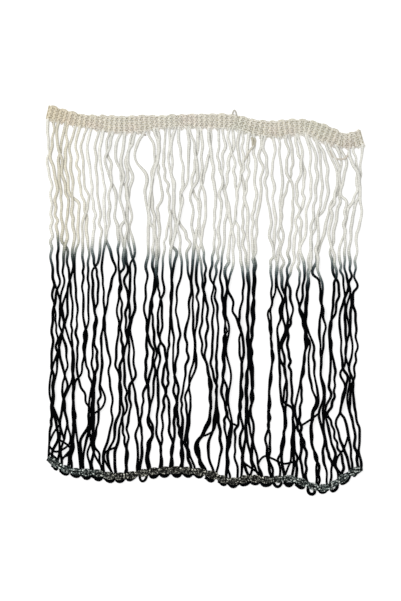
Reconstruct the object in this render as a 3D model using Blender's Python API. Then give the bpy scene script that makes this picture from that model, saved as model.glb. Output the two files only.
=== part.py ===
"""A cut length of dip-dyed loop fringe, lying flat with its face up.

The trim is a knitted, ribbed heading, the yarn loops that hang from it, and a
stitched chain that ties the loops together near their lower ends. X runs along
the trim to the right, Y from the foot chain up to the heading, and Z up from
the surface that the trim lies on. The tables and sizes are in millimetres, and
the finished meshes are in metres.
"""

import math
import random
from collections import namedtuple

import bmesh
import bpy
import numpy as np

MM = 0.001
SEED = 44

# The trim as a whole
HALF_LENGTH = 130.6
PIECE_GAP = 0.3

# The knitted heading
HEADING_THICKNESS = 2.0
RIB_COUNT = 63
RIB_HEIGHT = 0.4
RIBS_PER_TURN = 2
TURN_RISE = 0.9
HEADING_SIDE_ROUND = 0.7
HEADING_EDGE_SHARE = 0.6
STATIONS_PER_RIB = 3

# The strip at the heading's lower edge that holds the roots of the loops
ROOT_STRIP_WIDTH = 2.3
ROOT_SHIFT = 0.7

# The loops of chainette yarn
STRAND_COUNT = 58
STRAND_WIDTH = 1.75
STRAND_HEIGHT = 1.5
STRAND_SPACING = 2.1
KINK_STEPS = 21
KINK_SWING = 2.0
DARK_KINK_SWING = 1.4
CREAM_SHARE = 0.45
LEAST_SWING_SHARE = 0.1
SWING_TURN_CHANCE = 0.72
BIG_KINK_SHARE = 0.12
BIG_KINK_FACTOR = 1.8
LOW_SHARE = 0.15
LOW_KINK_FACTOR = 1.6
KINK_SLIDE = 0.9
KINK_ROW_WAVE = 4.0
KINK_ROW_TURN = 0.3
WANDER = 1.3
WANDER_LENGTHS = (70.0, 130.0)
WANDER_EASE = (4.0, 6.0)
PARTING_REACH = 12.0
SIDE_INSET_LEFT = 3.5
SIDE_INSET_RIGHT = 5.5
LEFT_EASE = (5.0, 8.0)
RIGHT_EASE = (3.0, 6.0)
CROSSING_SHARE = 0.32
CROSSING_REACH = 6.0
SETTLING_PASSES = 60
PUSH_SPREAD = 0.3
LEVEL_CROSSING_SLIP = 2.0
LEVELS_LEFT_UNCROSSED = 4

# The foot chain and the scallops that the loops make under it
SCALLOP_COUNT = 28
SCALLOP_STEPS = 5
SCALLOP_DROP = 4.3
SCALLOP_DROP_SPREAD = 0.5
SCALLOP_FULLNESS = 0.75
OPEN_SCALLOP_DROP = {8: 6.9, 20: 6.3, 23: 6.4, 25: 6.6}
JUNCTION_HALF_WIDTH = 1.12
JUNCTION_SHIFT = 0.5
LEG_END_RISE = 3.4
CHAIN_THICKNESS = 0.9
LINK_CROWN = 0.5
LINK_HALF_WIDTH = 3.1
KNOT_HALF_WIDTH = 1.8
LINK_STATIONS = 6
LINK_FULLNESS = 0.6
LINK_EDGE_SHARE = 0.6

HeadingRow = namedtuple("HeadingRow", "x y height")
HEADING = [
    HeadingRow(-131.0, 156.1, 12.3),
    HeadingRow(-117.5, 152.7, 10.8),
    HeadingRow(-103.5, 149.2, 10.6),
    HeadingRow(-90.0, 147.5, 11.6),
    HeadingRow(-78.5, 146.1, 13.8),
    HeadingRow(-61.0, 145.7, 14.0),
    HeadingRow(-50.0, 146.6, 13.8),
    HeadingRow(-42.0, 147.4, 11.8),
    HeadingRow(-9.0, 148.6, 11.5),
    HeadingRow(9.5, 148.4, 12.3),
    HeadingRow(26.0, 147.6, 12.0),
    HeadingRow(41.5, 143.5, 12.7),
    HeadingRow(56.5, 141.6, 13.8),
    HeadingRow(75.5, 143.6, 12.8),
    HeadingRow(85.0, 143.4, 12.0),
    HeadingRow(95.0, 139.9, 14.2),
    HeadingRow(104.0, 136.3, 13.9),
    HeadingRow(114.0, 132.6, 12.2),
    HeadingRow(120.5, 132.4, 12.9),
    HeadingRow(131.0, 135.4, 13.2),
]

FootRow = namedtuple("FootRow", "x y")
FOOT = [
    FootRow(-131.5, -131.0),
    FootRow(-127.0, -133.7),
    FootRow(-118.5, -139.3),
    FootRow(-110.0, -142.2),
    FootRow(-89.5, -144.0),
    FootRow(-76.0, -146.6),
    FootRow(-61.0, -145.7),
    FootRow(-47.0, -143.1),
    FootRow(-13.0, -142.0),
    FootRow(5.5, -145.2),
    FootRow(13.5, -148.4),
    FootRow(24.5, -150.8),
    FootRow(34.5, -148.6),
    FootRow(53.5, -149.6),
    FootRow(73.5, -149.2),
    FootRow(84.0, -152.8),
    FootRow(93.0, -156.0),
    FootRow(102.5, -155.3),
    FootRow(112.5, -149.7),
    FootRow(120.0, -144.7),
    FootRow(131.5, -139.6),
]

# Places where the strands stand apart and show the surface between them
Parting = namedtuple("Parting", "x y half_width half_height")
PARTINGS = [
    Parting(-51.0, 122.0, 7.0, 13.0),
    Parting(-53.0, 52.0, 5.2, 58.0),
    Parting(-55.0, -44.0, 4.6, 42.0),
    Parting(-19.0, 124.0, 4.4, 10.0),
    Parting(121.5, 96.0, 5.2, 14.0),
    Parting(-24.5, 111.5, 3.8, 9.0),
    Parting(-38.5, 93.5, 4.0, 10.0),
    Parting(4.5, 74.5, 3.5, 34.0),
    Parting(-14.5, 71.5, 3.7, 13.0),
    Parting(-34.5, 68.5, 3.7, 13.0),
    Parting(70.0, 62.5, 3.5, 18.0),
    Parting(48.0, 30.0, 5.6, 55.0),
    Parting(46.0, -78.0, 6.6, 60.0),
    Parting(-79.5, 25.5, 5.0, 10.0),
    Parting(72.5, 17.0, 3.8, 9.0),
    Parting(101.5, 11.5, 5.2, 22.0),
    Parting(27.0, 11.0, 3.9, 22.0),
    Parting(-16.5, -2.0, 4.0, 26.0),
    Parting(92.5, -5.5, 3.4, 26.0),
    Parting(-116.0, -5.5, 3.5, 13.0),
    Parting(76.0, -38.0, 4.8, 22.0),
    Parting(-17.0, -49.0, 4.0, 20.0),
    Parting(25.0, -60.0, 4.4, 43.0),
    Parting(-77.0, -20.0, 4.2, 30.0),
    Parting(-83.0, -88.0, 4.2, 42.0),
    Parting(-99.5, -66.0, 3.4, 13.0),
    Parting(-4.5, -86.0, 6.4, 32.0),
    Parting(86.5, -83.0, 4.8, 14.0),
    Parting(-101.0, -97.0, 3.4, 18.0),
    Parting(57.5, -95.0, 4.0, 38.0),
    Parting(114.0, -107.5, 4.4, 10.0),
    Parting(7.0, -124.0, 5.0, 14.0),
]

# Places where the strands lean to one side, at the heading and near the foot
Lean = namedtuple("Lean", "x y reach_x reach_y shift")
LEANS = [
    Lean(-104.0, 120.0, 26.0, 26.0, -5.5),
    Lean(-66.0, 116.0, 16.0, 24.0, -3.0),
    Lean(97.0, 98.0, 26.0, 34.0, 9.0),
    Lean(88.0, -98.0, 9.0, 12.0, -5.0),
    Lean(112.0, -98.0, 9.0, 11.0, -5.0),
    Lean(-4.0, -121.0, 9.0, 11.0, -8.0),
    Lean(-76.0, -124.0, 8.0, 10.0, -8.0),
    Lean(57.0, -126.0, 10.0, 9.0, -9.0),
]

# Colours, in linear light
CREAM = (0.70, 0.66, 0.55, 1.0)
BLUE_BLACK = (0.008, 0.009, 0.010, 1.0)
CHAIN_GREY = (0.25, 0.29, 0.27, 1.0)
YARN_ROUGHNESS = 0.85


def smooth_step(value):
    """Ease from 0 to 1 as value goes from 0 to 1."""
    t = min(max(value, 0.0), 1.0)
    return t * t * (3.0 - 2.0 * t)


def held_at_ends(t, ease):
    """Rise from 0 at t = 0 and fall back to 0 at t = 1, as steeply as ease says."""
    return smooth_step(ease[0] * t) * smooth_step(ease[1] * (1.0 - t))


def column_at(rows, column, x):
    """Read a table column at x, on a smooth curve through the rows."""
    xs = [row.x for row in rows]
    values = [getattr(row, column) for row in rows]
    slopes = np.gradient(values, xs)
    k = int(np.clip(np.searchsorted(xs, x) - 1, 0, len(xs) - 2))
    span = xs[k + 1] - xs[k]
    t = min(max((x - xs[k]) / span, 0.0), 1.0)
    rise = 3.0 * t * t - 2.0 * t**3
    start_pull = (t**3 - 2.0 * t * t + t) * span * slopes[k]
    end_pull = (t**3 - t * t) * span * slopes[k + 1]
    return (1.0 - rise) * values[k] + rise * values[k + 1] + start_pull + end_pull


def line_frame(rows, x):
    """Return the point of a table's line at x and its unit direction."""
    step = 0.5
    y_before = column_at(rows, "y", x - step)
    y_after = column_at(rows, "y", x + step)
    length = math.hypot(2.0 * step, y_after - y_before)
    direction = np.array([2.0 * step / length, (y_after - y_before) / length])
    return np.array([x, column_at(rows, "y", x)]), direction


def across_heading(x, distance):
    """Return the plan point at a distance above the heading's middle line."""
    middle, direction = line_frame(HEADING, x)
    normal = np.array([-direction[1], direction[0]])
    return middle + distance * normal


def heading_half(x):
    """Half of the heading's height at x."""
    return 0.5 * column_at(HEADING, "height", x)


def strip_lower(x):
    """Distance from the heading's middle line down to the root strip's lower edge."""
    return -heading_half(x)


def strip_upper(x):
    """Distance from the heading's middle line down to the root strip's upper edge."""
    return -heading_half(x) + ROOT_STRIP_WIDTH


def leaning(x, y):
    """Move a place on a strand sideways where the strands lean."""
    for lean in LEANS:
        u = (x - lean.x) / lean.reach_x
        v = (y - lean.y) / lean.reach_y
        x += lean.shift * math.exp(-u * u - v * v)
    return x


def parted(x, y, sides):
    """Move a place on a strand out of the partings, each to the strand's own side."""
    for gap, side in zip(PARTINGS, sides):
        v = (y - gap.y) / gap.half_height
        if abs(v) >= 1.0:
            continue
        half = gap.half_width * math.sqrt(1.0 - v * v)
        reach = half + PARTING_REACH
        u = side * (x - gap.x)
        if u < reach:
            x = gap.x + side * (half + (reach - half) * max(u, 0.0) / reach)
    return x


def junction_points(rng):
    """Places on the foot line where the legs of neighbouring loops meet."""
    pitch = 2.0 * HALF_LENGTH / SCALLOP_COUNT
    points = []
    for k in range(SCALLOP_COUNT + 1):
        x = -HALF_LENGTH + k * pitch
        if 0 < k < SCALLOP_COUNT:
            x += rng.uniform(-JUNCTION_SHIFT, JUNCTION_SHIFT)
        points.append(np.array([x, column_at(FOOT, "y", x)]))
    points[0][0] += 2.0 * JUNCTION_HALF_WIDTH
    points[-1][0] -= 2.0 * JUNCTION_HALF_WIDTH
    return points


def root_places(rng):
    """X of each strand's root along the heading's lower edge."""
    pitch = 2.0 * HALF_LENGTH / STRAND_COUNT
    return [
        -HALF_LENGTH + (i + 0.5) * pitch + rng.uniform(-ROOT_SHIFT, ROOT_SHIFT)
        for i in range(STRAND_COUNT)
    ]


def steepness(lane):
    """Sideways run for each unit of drop on the steeper side of each lane point."""
    slopes = np.abs(np.diff(lane[:, 0]) / np.diff(lane[:, 1]))
    return np.maximum(np.append(slopes, 0.0), np.insert(slopes, 0, 0.0))


def push_apart(lane, other, side):
    """Move a lane's points off its neighbour, which lies on the given side."""
    beside = np.interp(-lane[:, 1], -other[:, 1], other[:, 0])
    steep = np.maximum(steepness(lane), steepness(other))
    needed = STRAND_SPACING * np.sqrt(1.0 + steep**2)
    short = np.maximum(needed - side * (beside - lane[:, 0]), 0.0)
    short[0] = short[-1] = 0.0
    lane[:, 0] -= 0.5 * side * short
    reach = np.maximum(np.roll(short, 1), np.roll(short, -1))
    reach = np.maximum(PUSH_SPREAD * reach, short)
    reach[0] = reach[-1] = 0.0
    other[:, 0] += 0.5 * side * reach


def settle(lanes):
    """Push neighbouring lanes apart until each pair leaves room for the yarn."""
    edge = HALF_LENGTH - 0.5 * STRAND_WIDTH
    for _ in range(SETTLING_PASSES):
        for i in range(STRAND_COUNT - 1):
            push_apart(lanes[i], lanes[i + 1], 1.0)
            push_apart(lanes[i + 1], lanes[i], -1.0)
        lanes[0, :, 0] = np.maximum(lanes[0, :, 0], -edge)
        lanes[-1, :, 0] = np.minimum(lanes[-1, :, 0], edge)
    return lanes


def strand_base(root, foot, share, y):
    """X of a strand at y before it meanders, drawn in a little at the trim's sides."""
    t = (root[1] - y) / (root[1] - foot[1])
    inset_left = SIDE_INSET_LEFT * held_at_ends(t, LEFT_EASE) * (1.0 - share) ** 3
    inset_right = SIDE_INSET_RIGHT * held_at_ends(t, RIGHT_EASE) * share**3
    even = root[0] + (foot[0] - root[0]) * t
    return leaning(even + inset_left - inset_right, y)


def strand_lanes(rng, roots, junctions):
    """Lay the lanes side by side: for each lane, its points from root to foot."""
    lanes = np.zeros((STRAND_COUNT, KINK_STEPS + 1, 2))
    for i in range(STRAND_COUNT):
        share = i / (STRAND_COUNT - 1)
        root = across_heading(roots[i], strip_lower(roots[i]))
        side = JUNCTION_HALF_WIDTH if i % 2 else -JUNCTION_HALF_WIDTH
        foot = junctions[i // 2] + np.array([side, LEG_END_RISE])
        gap_sides = [
            math.copysign(1.0, strand_base(root, foot, share, gap.y) - gap.x) for gap in PARTINGS
        ]
        waves = [2.0 * math.pi / rng.uniform(*WANDER_LENGTHS) for _ in range(2)]
        phases = [rng.uniform(0.0, 2.0 * math.pi) for _ in range(2)]
        swing_side = rng.choice((-1.0, 1.0))
        lanes[i, 0] = root
        lanes[i, KINK_STEPS] = foot
        for j in range(1, KINK_STEPS):
            t = j / KINK_STEPS
            y = root[1] + (foot[1] - root[1]) * t + rng.uniform(-KINK_SLIDE, KINK_SLIDE)
            if 1 < j < KINK_STEPS - 1:
                y += KINK_ROW_WAVE * math.sin(KINK_ROW_TURN * i + j * j)
            swing = KINK_SWING if t < CREAM_SHARE else DARK_KINK_SWING
            swing *= rng.uniform(LEAST_SWING_SHARE, 1.0)
            if rng.random() < BIG_KINK_SHARE:
                swing *= BIG_KINK_FACTOR
            if t > 1.0 - LOW_SHARE:
                swing *= LOW_KINK_FACTOR
            slow = sum(math.sin(w * y + p) for w, p in zip(waves, phases))
            slow *= 0.5 * WANDER * held_at_ends(t, WANDER_EASE)
            x = strand_base(root, foot, share, y) + slow + swing_side * swing
            lanes[i, j] = (parted(x, y, gap_sides), y)
            swing_side = -swing_side if rng.random() < SWING_TURN_CHANCE else swing_side
    return settle(lanes)


def cross_strands(rng, lanes):
    """Let neighbouring strands change lanes, one passing over the other.

    Returns two lists in the order of the lanes that the strands reach at the
    foot: each strand's points with their height above the surface, as x, y and
    z, and the number of the root that it starts from.
    """
    holder = list(range(STRAND_COUNT))
    routes = [[] for _ in range(STRAND_COUNT)]
    lift = np.zeros((STRAND_COUNT, KINK_STEPS + 1))
    busy = [-2] * STRAND_COUNT
    for j in range(KINK_STEPS + 1):
        for lane in range(STRAND_COUNT):
            routes[holder[lane]].append(lanes[lane, j])
        if not 1 <= j <= KINK_STEPS - LEVELS_LEFT_UNCROSSED:
            continue
        for lane in range(STRAND_COUNT - 1):
            left, right = holder[lane], holder[lane + 1]
            near = lanes[lane + 1, j, 0] - lanes[lane, j, 0]
            near_after = lanes[lane + 1, j + 1, 0] - lanes[lane, j + 1, 0]
            slip = np.abs(lanes[lane + 1, j : j + 2, 1] - lanes[lane, j : j + 2, 1]).max()
            free = busy[left] < j and busy[right] < j and slip < LEVEL_CROSSING_SLIP
            if free and max(near, near_after) < CROSSING_REACH and rng.random() < CROSSING_SHARE:
                upper = left if rng.random() < 0.5 else right
                lift[upper, j] = lift[upper, j + 1] = STRAND_HEIGHT + PIECE_GAP
                holder[lane], holder[lane + 1] = right, left
                busy[left] = busy[right] = j + 1
    crossed = [
        [np.array([p[0], p[1], lift[s, j]]) for j, p in enumerate(routes[s])] for s in holder
    ]
    return crossed, holder


def scallop_points(rng, junctions, k):
    """Points of the loop's bend under the chain, from its left leg to its right."""
    drop = SCALLOP_DROP + rng.uniform(-SCALLOP_DROP_SPREAD, SCALLOP_DROP_SPREAD)
    drop = OPEN_SCALLOP_DROP.get(k, drop)
    start = junctions[k] + np.array([JUNCTION_HALF_WIDTH, 0.0])
    end = junctions[k + 1] - np.array([JUNCTION_HALF_WIDTH, 0.0])
    points = []
    for n in range(SCALLOP_STEPS + 1):
        angle = math.pi * n / SCALLOP_STEPS
        share = 0.5 - 0.5 * math.cos(angle)
        x, y = start + (end - start) * share
        points.append(np.array([x, y - drop * math.sin(angle) ** SCALLOP_FULLNESS, 0.0]))
    return points


def add_mesh(name, points_mm, faces, colour):
    """Make one closed object from points in millimetres and its faces."""
    mesh = bpy.data.meshes.new(name)
    mesh.from_pydata([tuple(MM * c for c in p) for p in points_mm], [], faces)
    work = bmesh.new()
    work.from_mesh(mesh)
    bmesh.ops.recalc_face_normals(work, faces=work.faces)
    work.to_mesh(mesh)
    work.free()
    obj = bpy.data.objects.new(name, mesh)
    bpy.context.scene.collection.objects.link(obj)
    material = bpy.data.materials.new(name + "_yarn")
    material.use_nodes = True
    shader = material.node_tree.nodes["Principled BSDF"]
    shader.inputs["Base Color"].default_value = colour
    shader.inputs["Roughness"].default_value = YARN_ROUGHNESS
    shader.inputs["Metallic"].default_value = 0.0
    mesh.materials.append(material)
    return obj


def skin_sections(sections):
    """Join equal rings of points into one closed body with flat ends."""
    size = len(sections[0])
    points = [point for section in sections for point in section]
    faces = [tuple(range(size))]
    for s in range(len(sections) - 1):
        for n in range(size):
            m = (n + 1) % size
            faces.append((s * size + n, s * size + m, (s + 1) * size + m, (s + 1) * size + n))
    last = (len(sections) - 1) * size
    faces.append(tuple(last + n for n in range(size)))
    return points, faces


def build_heading():
    """The ribbed band, with a rounded upper edge where the yarn turns."""
    rib_pitch = 2.0 * HALF_LENGTH / RIB_COUNT
    sections = []
    for n in range(STATIONS_PER_RIB * RIB_COUNT + 1):
        x = -HALF_LENGTH + n * rib_pitch / STATIONS_PER_RIB
        rib = 0.0 if n % STATIONS_PER_RIB == 0 else RIB_HEIGHT
        turn = abs(math.sin(math.pi * n / (STATIONS_PER_RIB * RIBS_PER_TURN)))
        lower = strip_upper(x) + PIECE_GAP
        upper = heading_half(x) - TURN_RISE * (1.0 - turn)
        top = HEADING_THICKNESS + rib
        ring = [
            (lower, 0.0),
            (upper - 0.5 * HEADING_SIDE_ROUND, 0.0),
            (upper, 0.5 * HEADING_THICKNESS),
            (upper - HEADING_SIDE_ROUND, top),
            (lower + HEADING_SIDE_ROUND, top),
            (lower, HEADING_EDGE_SHARE * HEADING_THICKNESS),
        ]
        sections.append([(*across_heading(x, a), z) for a, z in ring])
    points, faces = skin_sections(sections)
    return add_mesh("heading", points, faces, CREAM)


def strand_ring(before, point, after):
    """Triangle of yarn round a route's point: one side, the other side, the ridge."""
    run = (after - before)[:2]
    run = run / np.linalg.norm(run)
    side = 0.5 * STRAND_WIDTH * np.array([-run[1], run[0], 0.0])
    ridge = point + np.array([0.0, 0.0, STRAND_HEIGHT])
    return [point + side, point - side, ridge]


def add_strand(points, faces, route, start_ring, end_ring):
    """Skin one route, from a ring that exists to another, or to a closed end."""
    ring = start_ring
    inner = range(1, len(route) - 1) if end_ring else range(1, len(route))
    for n in inner:
        after = route[min(n + 1, len(route) - 1)]
        first = len(points)
        points.extend(strand_ring(route[n - 1], route[n], after))
        new_ring = [first, first + 1, first + 2]
        for a in range(3):
            b = (a + 1) % 3
            faces.append((ring[a], ring[b], new_ring[b], new_ring[a]))
        ring = new_ring
    if end_ring:
        for a in range(3):
            b = (a + 1) % 3
            faces.append((ring[a], ring[b], end_ring[b], end_ring[a]))
    else:
        faces.append(tuple(ring))


def build_root_strip(points, faces, roots):
    """The strip along the heading's lower edge, left open where a strand leaves.

    Returns for each root the three points that its strand starts from, in the
    order right, left and ridge, as a strand that runs down to the foot has them.
    """
    half = 0.5 * STRAND_WIDTH

    def corner(x, shift, height, across):
        _, direction = line_frame(HEADING, x)
        plan = across_heading(x, across) + shift * direction
        points.append(np.array([*plan, height]))
        return len(points) - 1

    ends = []
    for x in (-HALF_LENGTH, HALF_LENGTH):
        ends.append(
            [
                corner(x, 0.0, 0.0, strip_lower(x)),
                corner(x, 0.0, STRAND_HEIGHT, strip_lower(x)),
                corner(x, 0.0, STRAND_HEIGHT, strip_upper(x)),
                corner(x, 0.0, 0.0, strip_upper(x)),
            ]
        )
    rings = []
    backs = []
    for x in roots:
        rings.append(
            [
                corner(x, half, 0.0, strip_lower(x)),
                corner(x, -half, 0.0, strip_lower(x)),
                corner(x, 0.0, STRAND_HEIGHT, strip_lower(x)),
            ]
        )
        backs.append(
            [
                corner(x, 0.0, STRAND_HEIGHT, strip_upper(x)),
                corner(x, 0.0, 0.0, strip_upper(x)),
            ]
        )
    fronts = [(ends[0][0], ends[0][0], ends[0][1])]
    fronts += [tuple(ring) for ring in rings]
    fronts.append((ends[1][0], ends[1][0], ends[1][1]))
    rears = [(ends[0][2], ends[0][3])]
    rears += [tuple(back) for back in backs]
    rears.append((ends[1][2], ends[1][3]))
    for n in range(len(fronts) - 1):
        right, _, ridge = fronts[n]
        _, next_left, next_ridge = fronts[n + 1]
        top, base = rears[n]
        next_top, next_base = rears[n + 1]
        faces.append((right, next_left, next_ridge, ridge))
        faces.append((ridge, next_ridge, next_top, top))
        faces.append((top, next_top, next_base, base))
        faces.append((base, next_base, next_left, right))
    for (right, left, _), (_, base) in zip(rings, backs):
        faces.append((right, left, base))
    for end in ends:
        faces.append(tuple(end))
    return rings


def build_fringe():
    """All the loops, fused at their roots into the narrow strip."""
    rng = random.Random(SEED)
    roots = root_places(rng)
    junctions = junction_points(rng)
    lanes = strand_lanes(rng, roots, junctions)
    routes, root_order = cross_strands(rng, lanes)
    points = []
    faces = []
    rings = build_root_strip(points, faces, roots)
    leg_end = np.array([0.0, -LEG_END_RISE, 0.0])
    for k in range(SCALLOP_COUNT):
        left_leg = routes[2 * k + 1]
        right_leg = routes[2 * k + 2]
        bend = scallop_points(rng, junctions, k)
        route = left_leg + bend + right_leg[::-1]
        right, left, ridge = rings[root_order[2 * k + 2]]
        add_strand(points, faces, route, rings[root_order[2 * k + 1]], [left, right, ridge])
    for slot in (0, STRAND_COUNT - 1):
        route = routes[slot] + [routes[slot][-1] + leg_end]
        add_strand(points, faces, route, rings[root_order[slot]], None)
    return add_mesh("fringe", points, faces, BLUE_BLACK), junctions


def build_foot_chain(junctions):
    """The chain of wide links over the loops and narrow knots over their legs."""
    base = STRAND_HEIGHT + PIECE_GAP
    starts = [p[0] for p in junctions]
    starts[0] = -HALF_LENGTH
    starts[-1] = HALF_LENGTH
    edge = base + LINK_EDGE_SHARE * CHAIN_THICKNESS
    sections = []
    for n in range(SCALLOP_COUNT * LINK_STATIONS + 1):
        x = np.interp(n / LINK_STATIONS, range(SCALLOP_COUNT + 1), starts)
        swell = abs(math.sin(math.pi * n / LINK_STATIONS)) ** LINK_FULLNESS
        half = KNOT_HALF_WIDTH + (LINK_HALF_WIDTH - KNOT_HALF_WIDTH) * swell
        top = base + CHAIN_THICKNESS + LINK_CROWN * (1.0 - swell)
        middle, direction = line_frame(FOOT, x)
        normal = np.array([-direction[1], direction[0]])
        ring = [(-half, base), (half, base), (half, edge), (0.0, top), (-half, edge)]
        sections.append([(*(middle + a * normal), z) for a, z in ring])
    points, faces = skin_sections(sections)
    return add_mesh("foot_chain", points, faces, CHAIN_GREY)


def main():
    """Clear the scene and build the three pieces."""
    for old in list(bpy.data.objects):
        bpy.data.objects.remove(old, do_unlink=True)
    build_heading()
    _, junctions = build_fringe()
    build_foot_chain(junctions)


main()
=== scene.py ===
"""The looks of a cut length of dip-dyed loop fringe, lying flat with its face up.

The trim has a knitted heading, long loops of chainette yarn that shade from
cream to black, and a stitched chain near the loops' ends. X runs along the trim
to the right, Y from the chain up to the heading, and Z up from the surface that
the trim lies on. The classes hold their sizes in millimetres, and the meshes
are made in metres.
"""

import logging
import math
import random
from dataclasses import dataclass, field
from enum import Enum

import bmesh
import bpy
import numpy as np
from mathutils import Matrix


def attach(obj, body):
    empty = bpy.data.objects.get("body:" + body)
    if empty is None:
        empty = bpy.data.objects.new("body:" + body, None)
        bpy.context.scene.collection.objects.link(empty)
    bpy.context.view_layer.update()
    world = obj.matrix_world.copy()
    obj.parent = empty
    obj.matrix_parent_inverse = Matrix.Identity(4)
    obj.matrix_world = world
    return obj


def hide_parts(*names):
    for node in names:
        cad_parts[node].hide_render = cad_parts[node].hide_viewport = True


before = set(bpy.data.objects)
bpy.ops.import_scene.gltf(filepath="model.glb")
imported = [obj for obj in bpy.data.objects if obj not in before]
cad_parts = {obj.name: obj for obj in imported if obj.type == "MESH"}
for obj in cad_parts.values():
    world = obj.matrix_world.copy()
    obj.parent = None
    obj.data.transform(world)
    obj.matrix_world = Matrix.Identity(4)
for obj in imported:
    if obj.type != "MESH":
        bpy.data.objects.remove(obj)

log = logging.getLogger("fringe_trim")

MM = 0.001
SEED = 11
FULL_TURN = 2.0 * math.pi
WHITE = (1.0, 1.0, 1.0, 1.0)


class Slot(Enum):
    """The record's material slots."""

    HEADING = "cream_knit"
    YARN = "dip_dyed_yarn"
    CHAIN = "chain_thread"


class Hue(Enum):
    """What a loose yarn's colour leans to, with how light it is."""

    GREY = 0.3
    BROWN = 0.5
    CREAM = 0.85


def linear(code: str) -> tuple[float, float, float, float]:
    """Turn a colour code into linear light.

    Args:
        code: Six hexadecimal digits after a hash sign.

    Returns:
        Red, green, blue and an alpha of 1.
    """
    shares = [int(code[n : n + 2], 16) / 255.0 for n in (1, 3, 5)]
    light = [s / 12.92 if s <= 0.04045 else ((s + 0.055) / 1.055) ** 2.4 for s in shares]
    return (light[0], light[1], light[2], 1.0)


def hermite(knots: np.ndarray, values: np.ndarray, at: np.ndarray) -> np.ndarray:
    """Read a smooth curve through values that stand at knots.

    Args:
        knots: Rising places of the values.
        values: One row for each knot.
        at: Places to read the curve at.

    Returns:
        One row for each place.
    """
    slopes = np.gradient(values, knots, axis=0)
    k = np.clip(np.searchsorted(knots, at) - 1, 0, len(knots) - 2)
    span = (knots[k + 1] - knots[k])[:, None]
    t = np.clip((at - knots[k])[:, None] / span, 0.0, 1.0)
    rise = 3.0 * t**2 - 2.0 * t**3
    start_pull = (t**3 - 2.0 * t**2 + t) * span * slopes[k]
    end_pull = (t**3 - t**2) * span * slopes[k + 1]
    return (1.0 - rise) * values[k] + rise * values[k + 1] + start_pull + end_pull


def fade(distance: float, softness: float) -> float:
    """A share that falls softly from 1 to 0 where a distance passes 0."""
    return 1.0 / (1.0 + math.exp(distance / softness))


def smooth_path(points: np.ndarray, spacing: float) -> np.ndarray:
    """Round a route's corners and set points on it at an even spacing.

    Args:
        points: The route's own points, one row each.
        spacing: Distance between the new points.

    Returns:
        The new points, one row each.
    """
    fine_steps = 16
    gaps = np.sqrt(np.linalg.norm(np.diff(points, axis=0), axis=1))
    knots = np.concatenate([[0.0], np.cumsum(gaps)])
    curve = hermite(knots, points, np.linspace(0.0, knots[-1], fine_steps * len(points)))
    run = np.concatenate([[0.0], np.cumsum(np.linalg.norm(np.diff(curve, axis=0), axis=1))])
    even = np.linspace(0.0, run[-1], max(round(run[-1] / spacing), 2) + 1)
    return np.stack([np.interp(even, run, curve[:, c]) for c in range(3)], axis=1)


@dataclass(frozen=True)
class LineRow:
    """One place on a line along the trim."""

    x: float
    y: float
    height: float = 0.0


@dataclass(frozen=True)
class TrimLine:
    """A line along the trim, smooth through its rows."""

    rows: tuple[LineRow, ...]

    def read(self, x: float | np.ndarray, column: str = "y") -> np.ndarray:
        """Read one column of the rows.

        Args:
            x: Places along the trim.
            column: The name of the column.

        Returns:
            The column's value at each place.
        """
        knots = np.array([row.x for row in self.rows])
        values = np.array([[getattr(row, column)] for row in self.rows])
        return hermite(knots, values, np.atleast_1d(np.asarray(x, dtype=float)))[:, 0]

    def direction(self, x: float | np.ndarray) -> np.ndarray:
        """Find which way the line runs.

        Args:
            x: Places along the trim.

        Returns:
            The line's unit direction at each place, one row each.
        """
        half_step = 0.5
        slope = self.read(np.asarray(x) + half_step) - self.read(np.asarray(x) - half_step)
        way = np.stack([np.ones_like(slope), slope], axis=1)
        return way / np.linalg.norm(way, axis=1, keepdims=True)

    def angle(self, x: float) -> float:
        """The line's angle to X at one place, in radians."""
        way = self.direction(x)[0]
        return math.atan2(way[1], way[0])

    def place(self, x: float | np.ndarray, distance: float | np.ndarray) -> np.ndarray:
        """Find plan points at a distance to the upper side of the line.

        Args:
            x: Places along the trim.
            distance: How far above the line each point lies.

        Returns:
            X and Y of each point, one row each.
        """
        x = np.atleast_1d(np.asarray(x, dtype=float))
        way = self.direction(x)
        normal = np.stack([-way[:, 1], way[:, 0]], axis=1)
        return np.stack([x, self.read(x)], axis=1) + normal * np.reshape(distance, (-1, 1))


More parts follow.
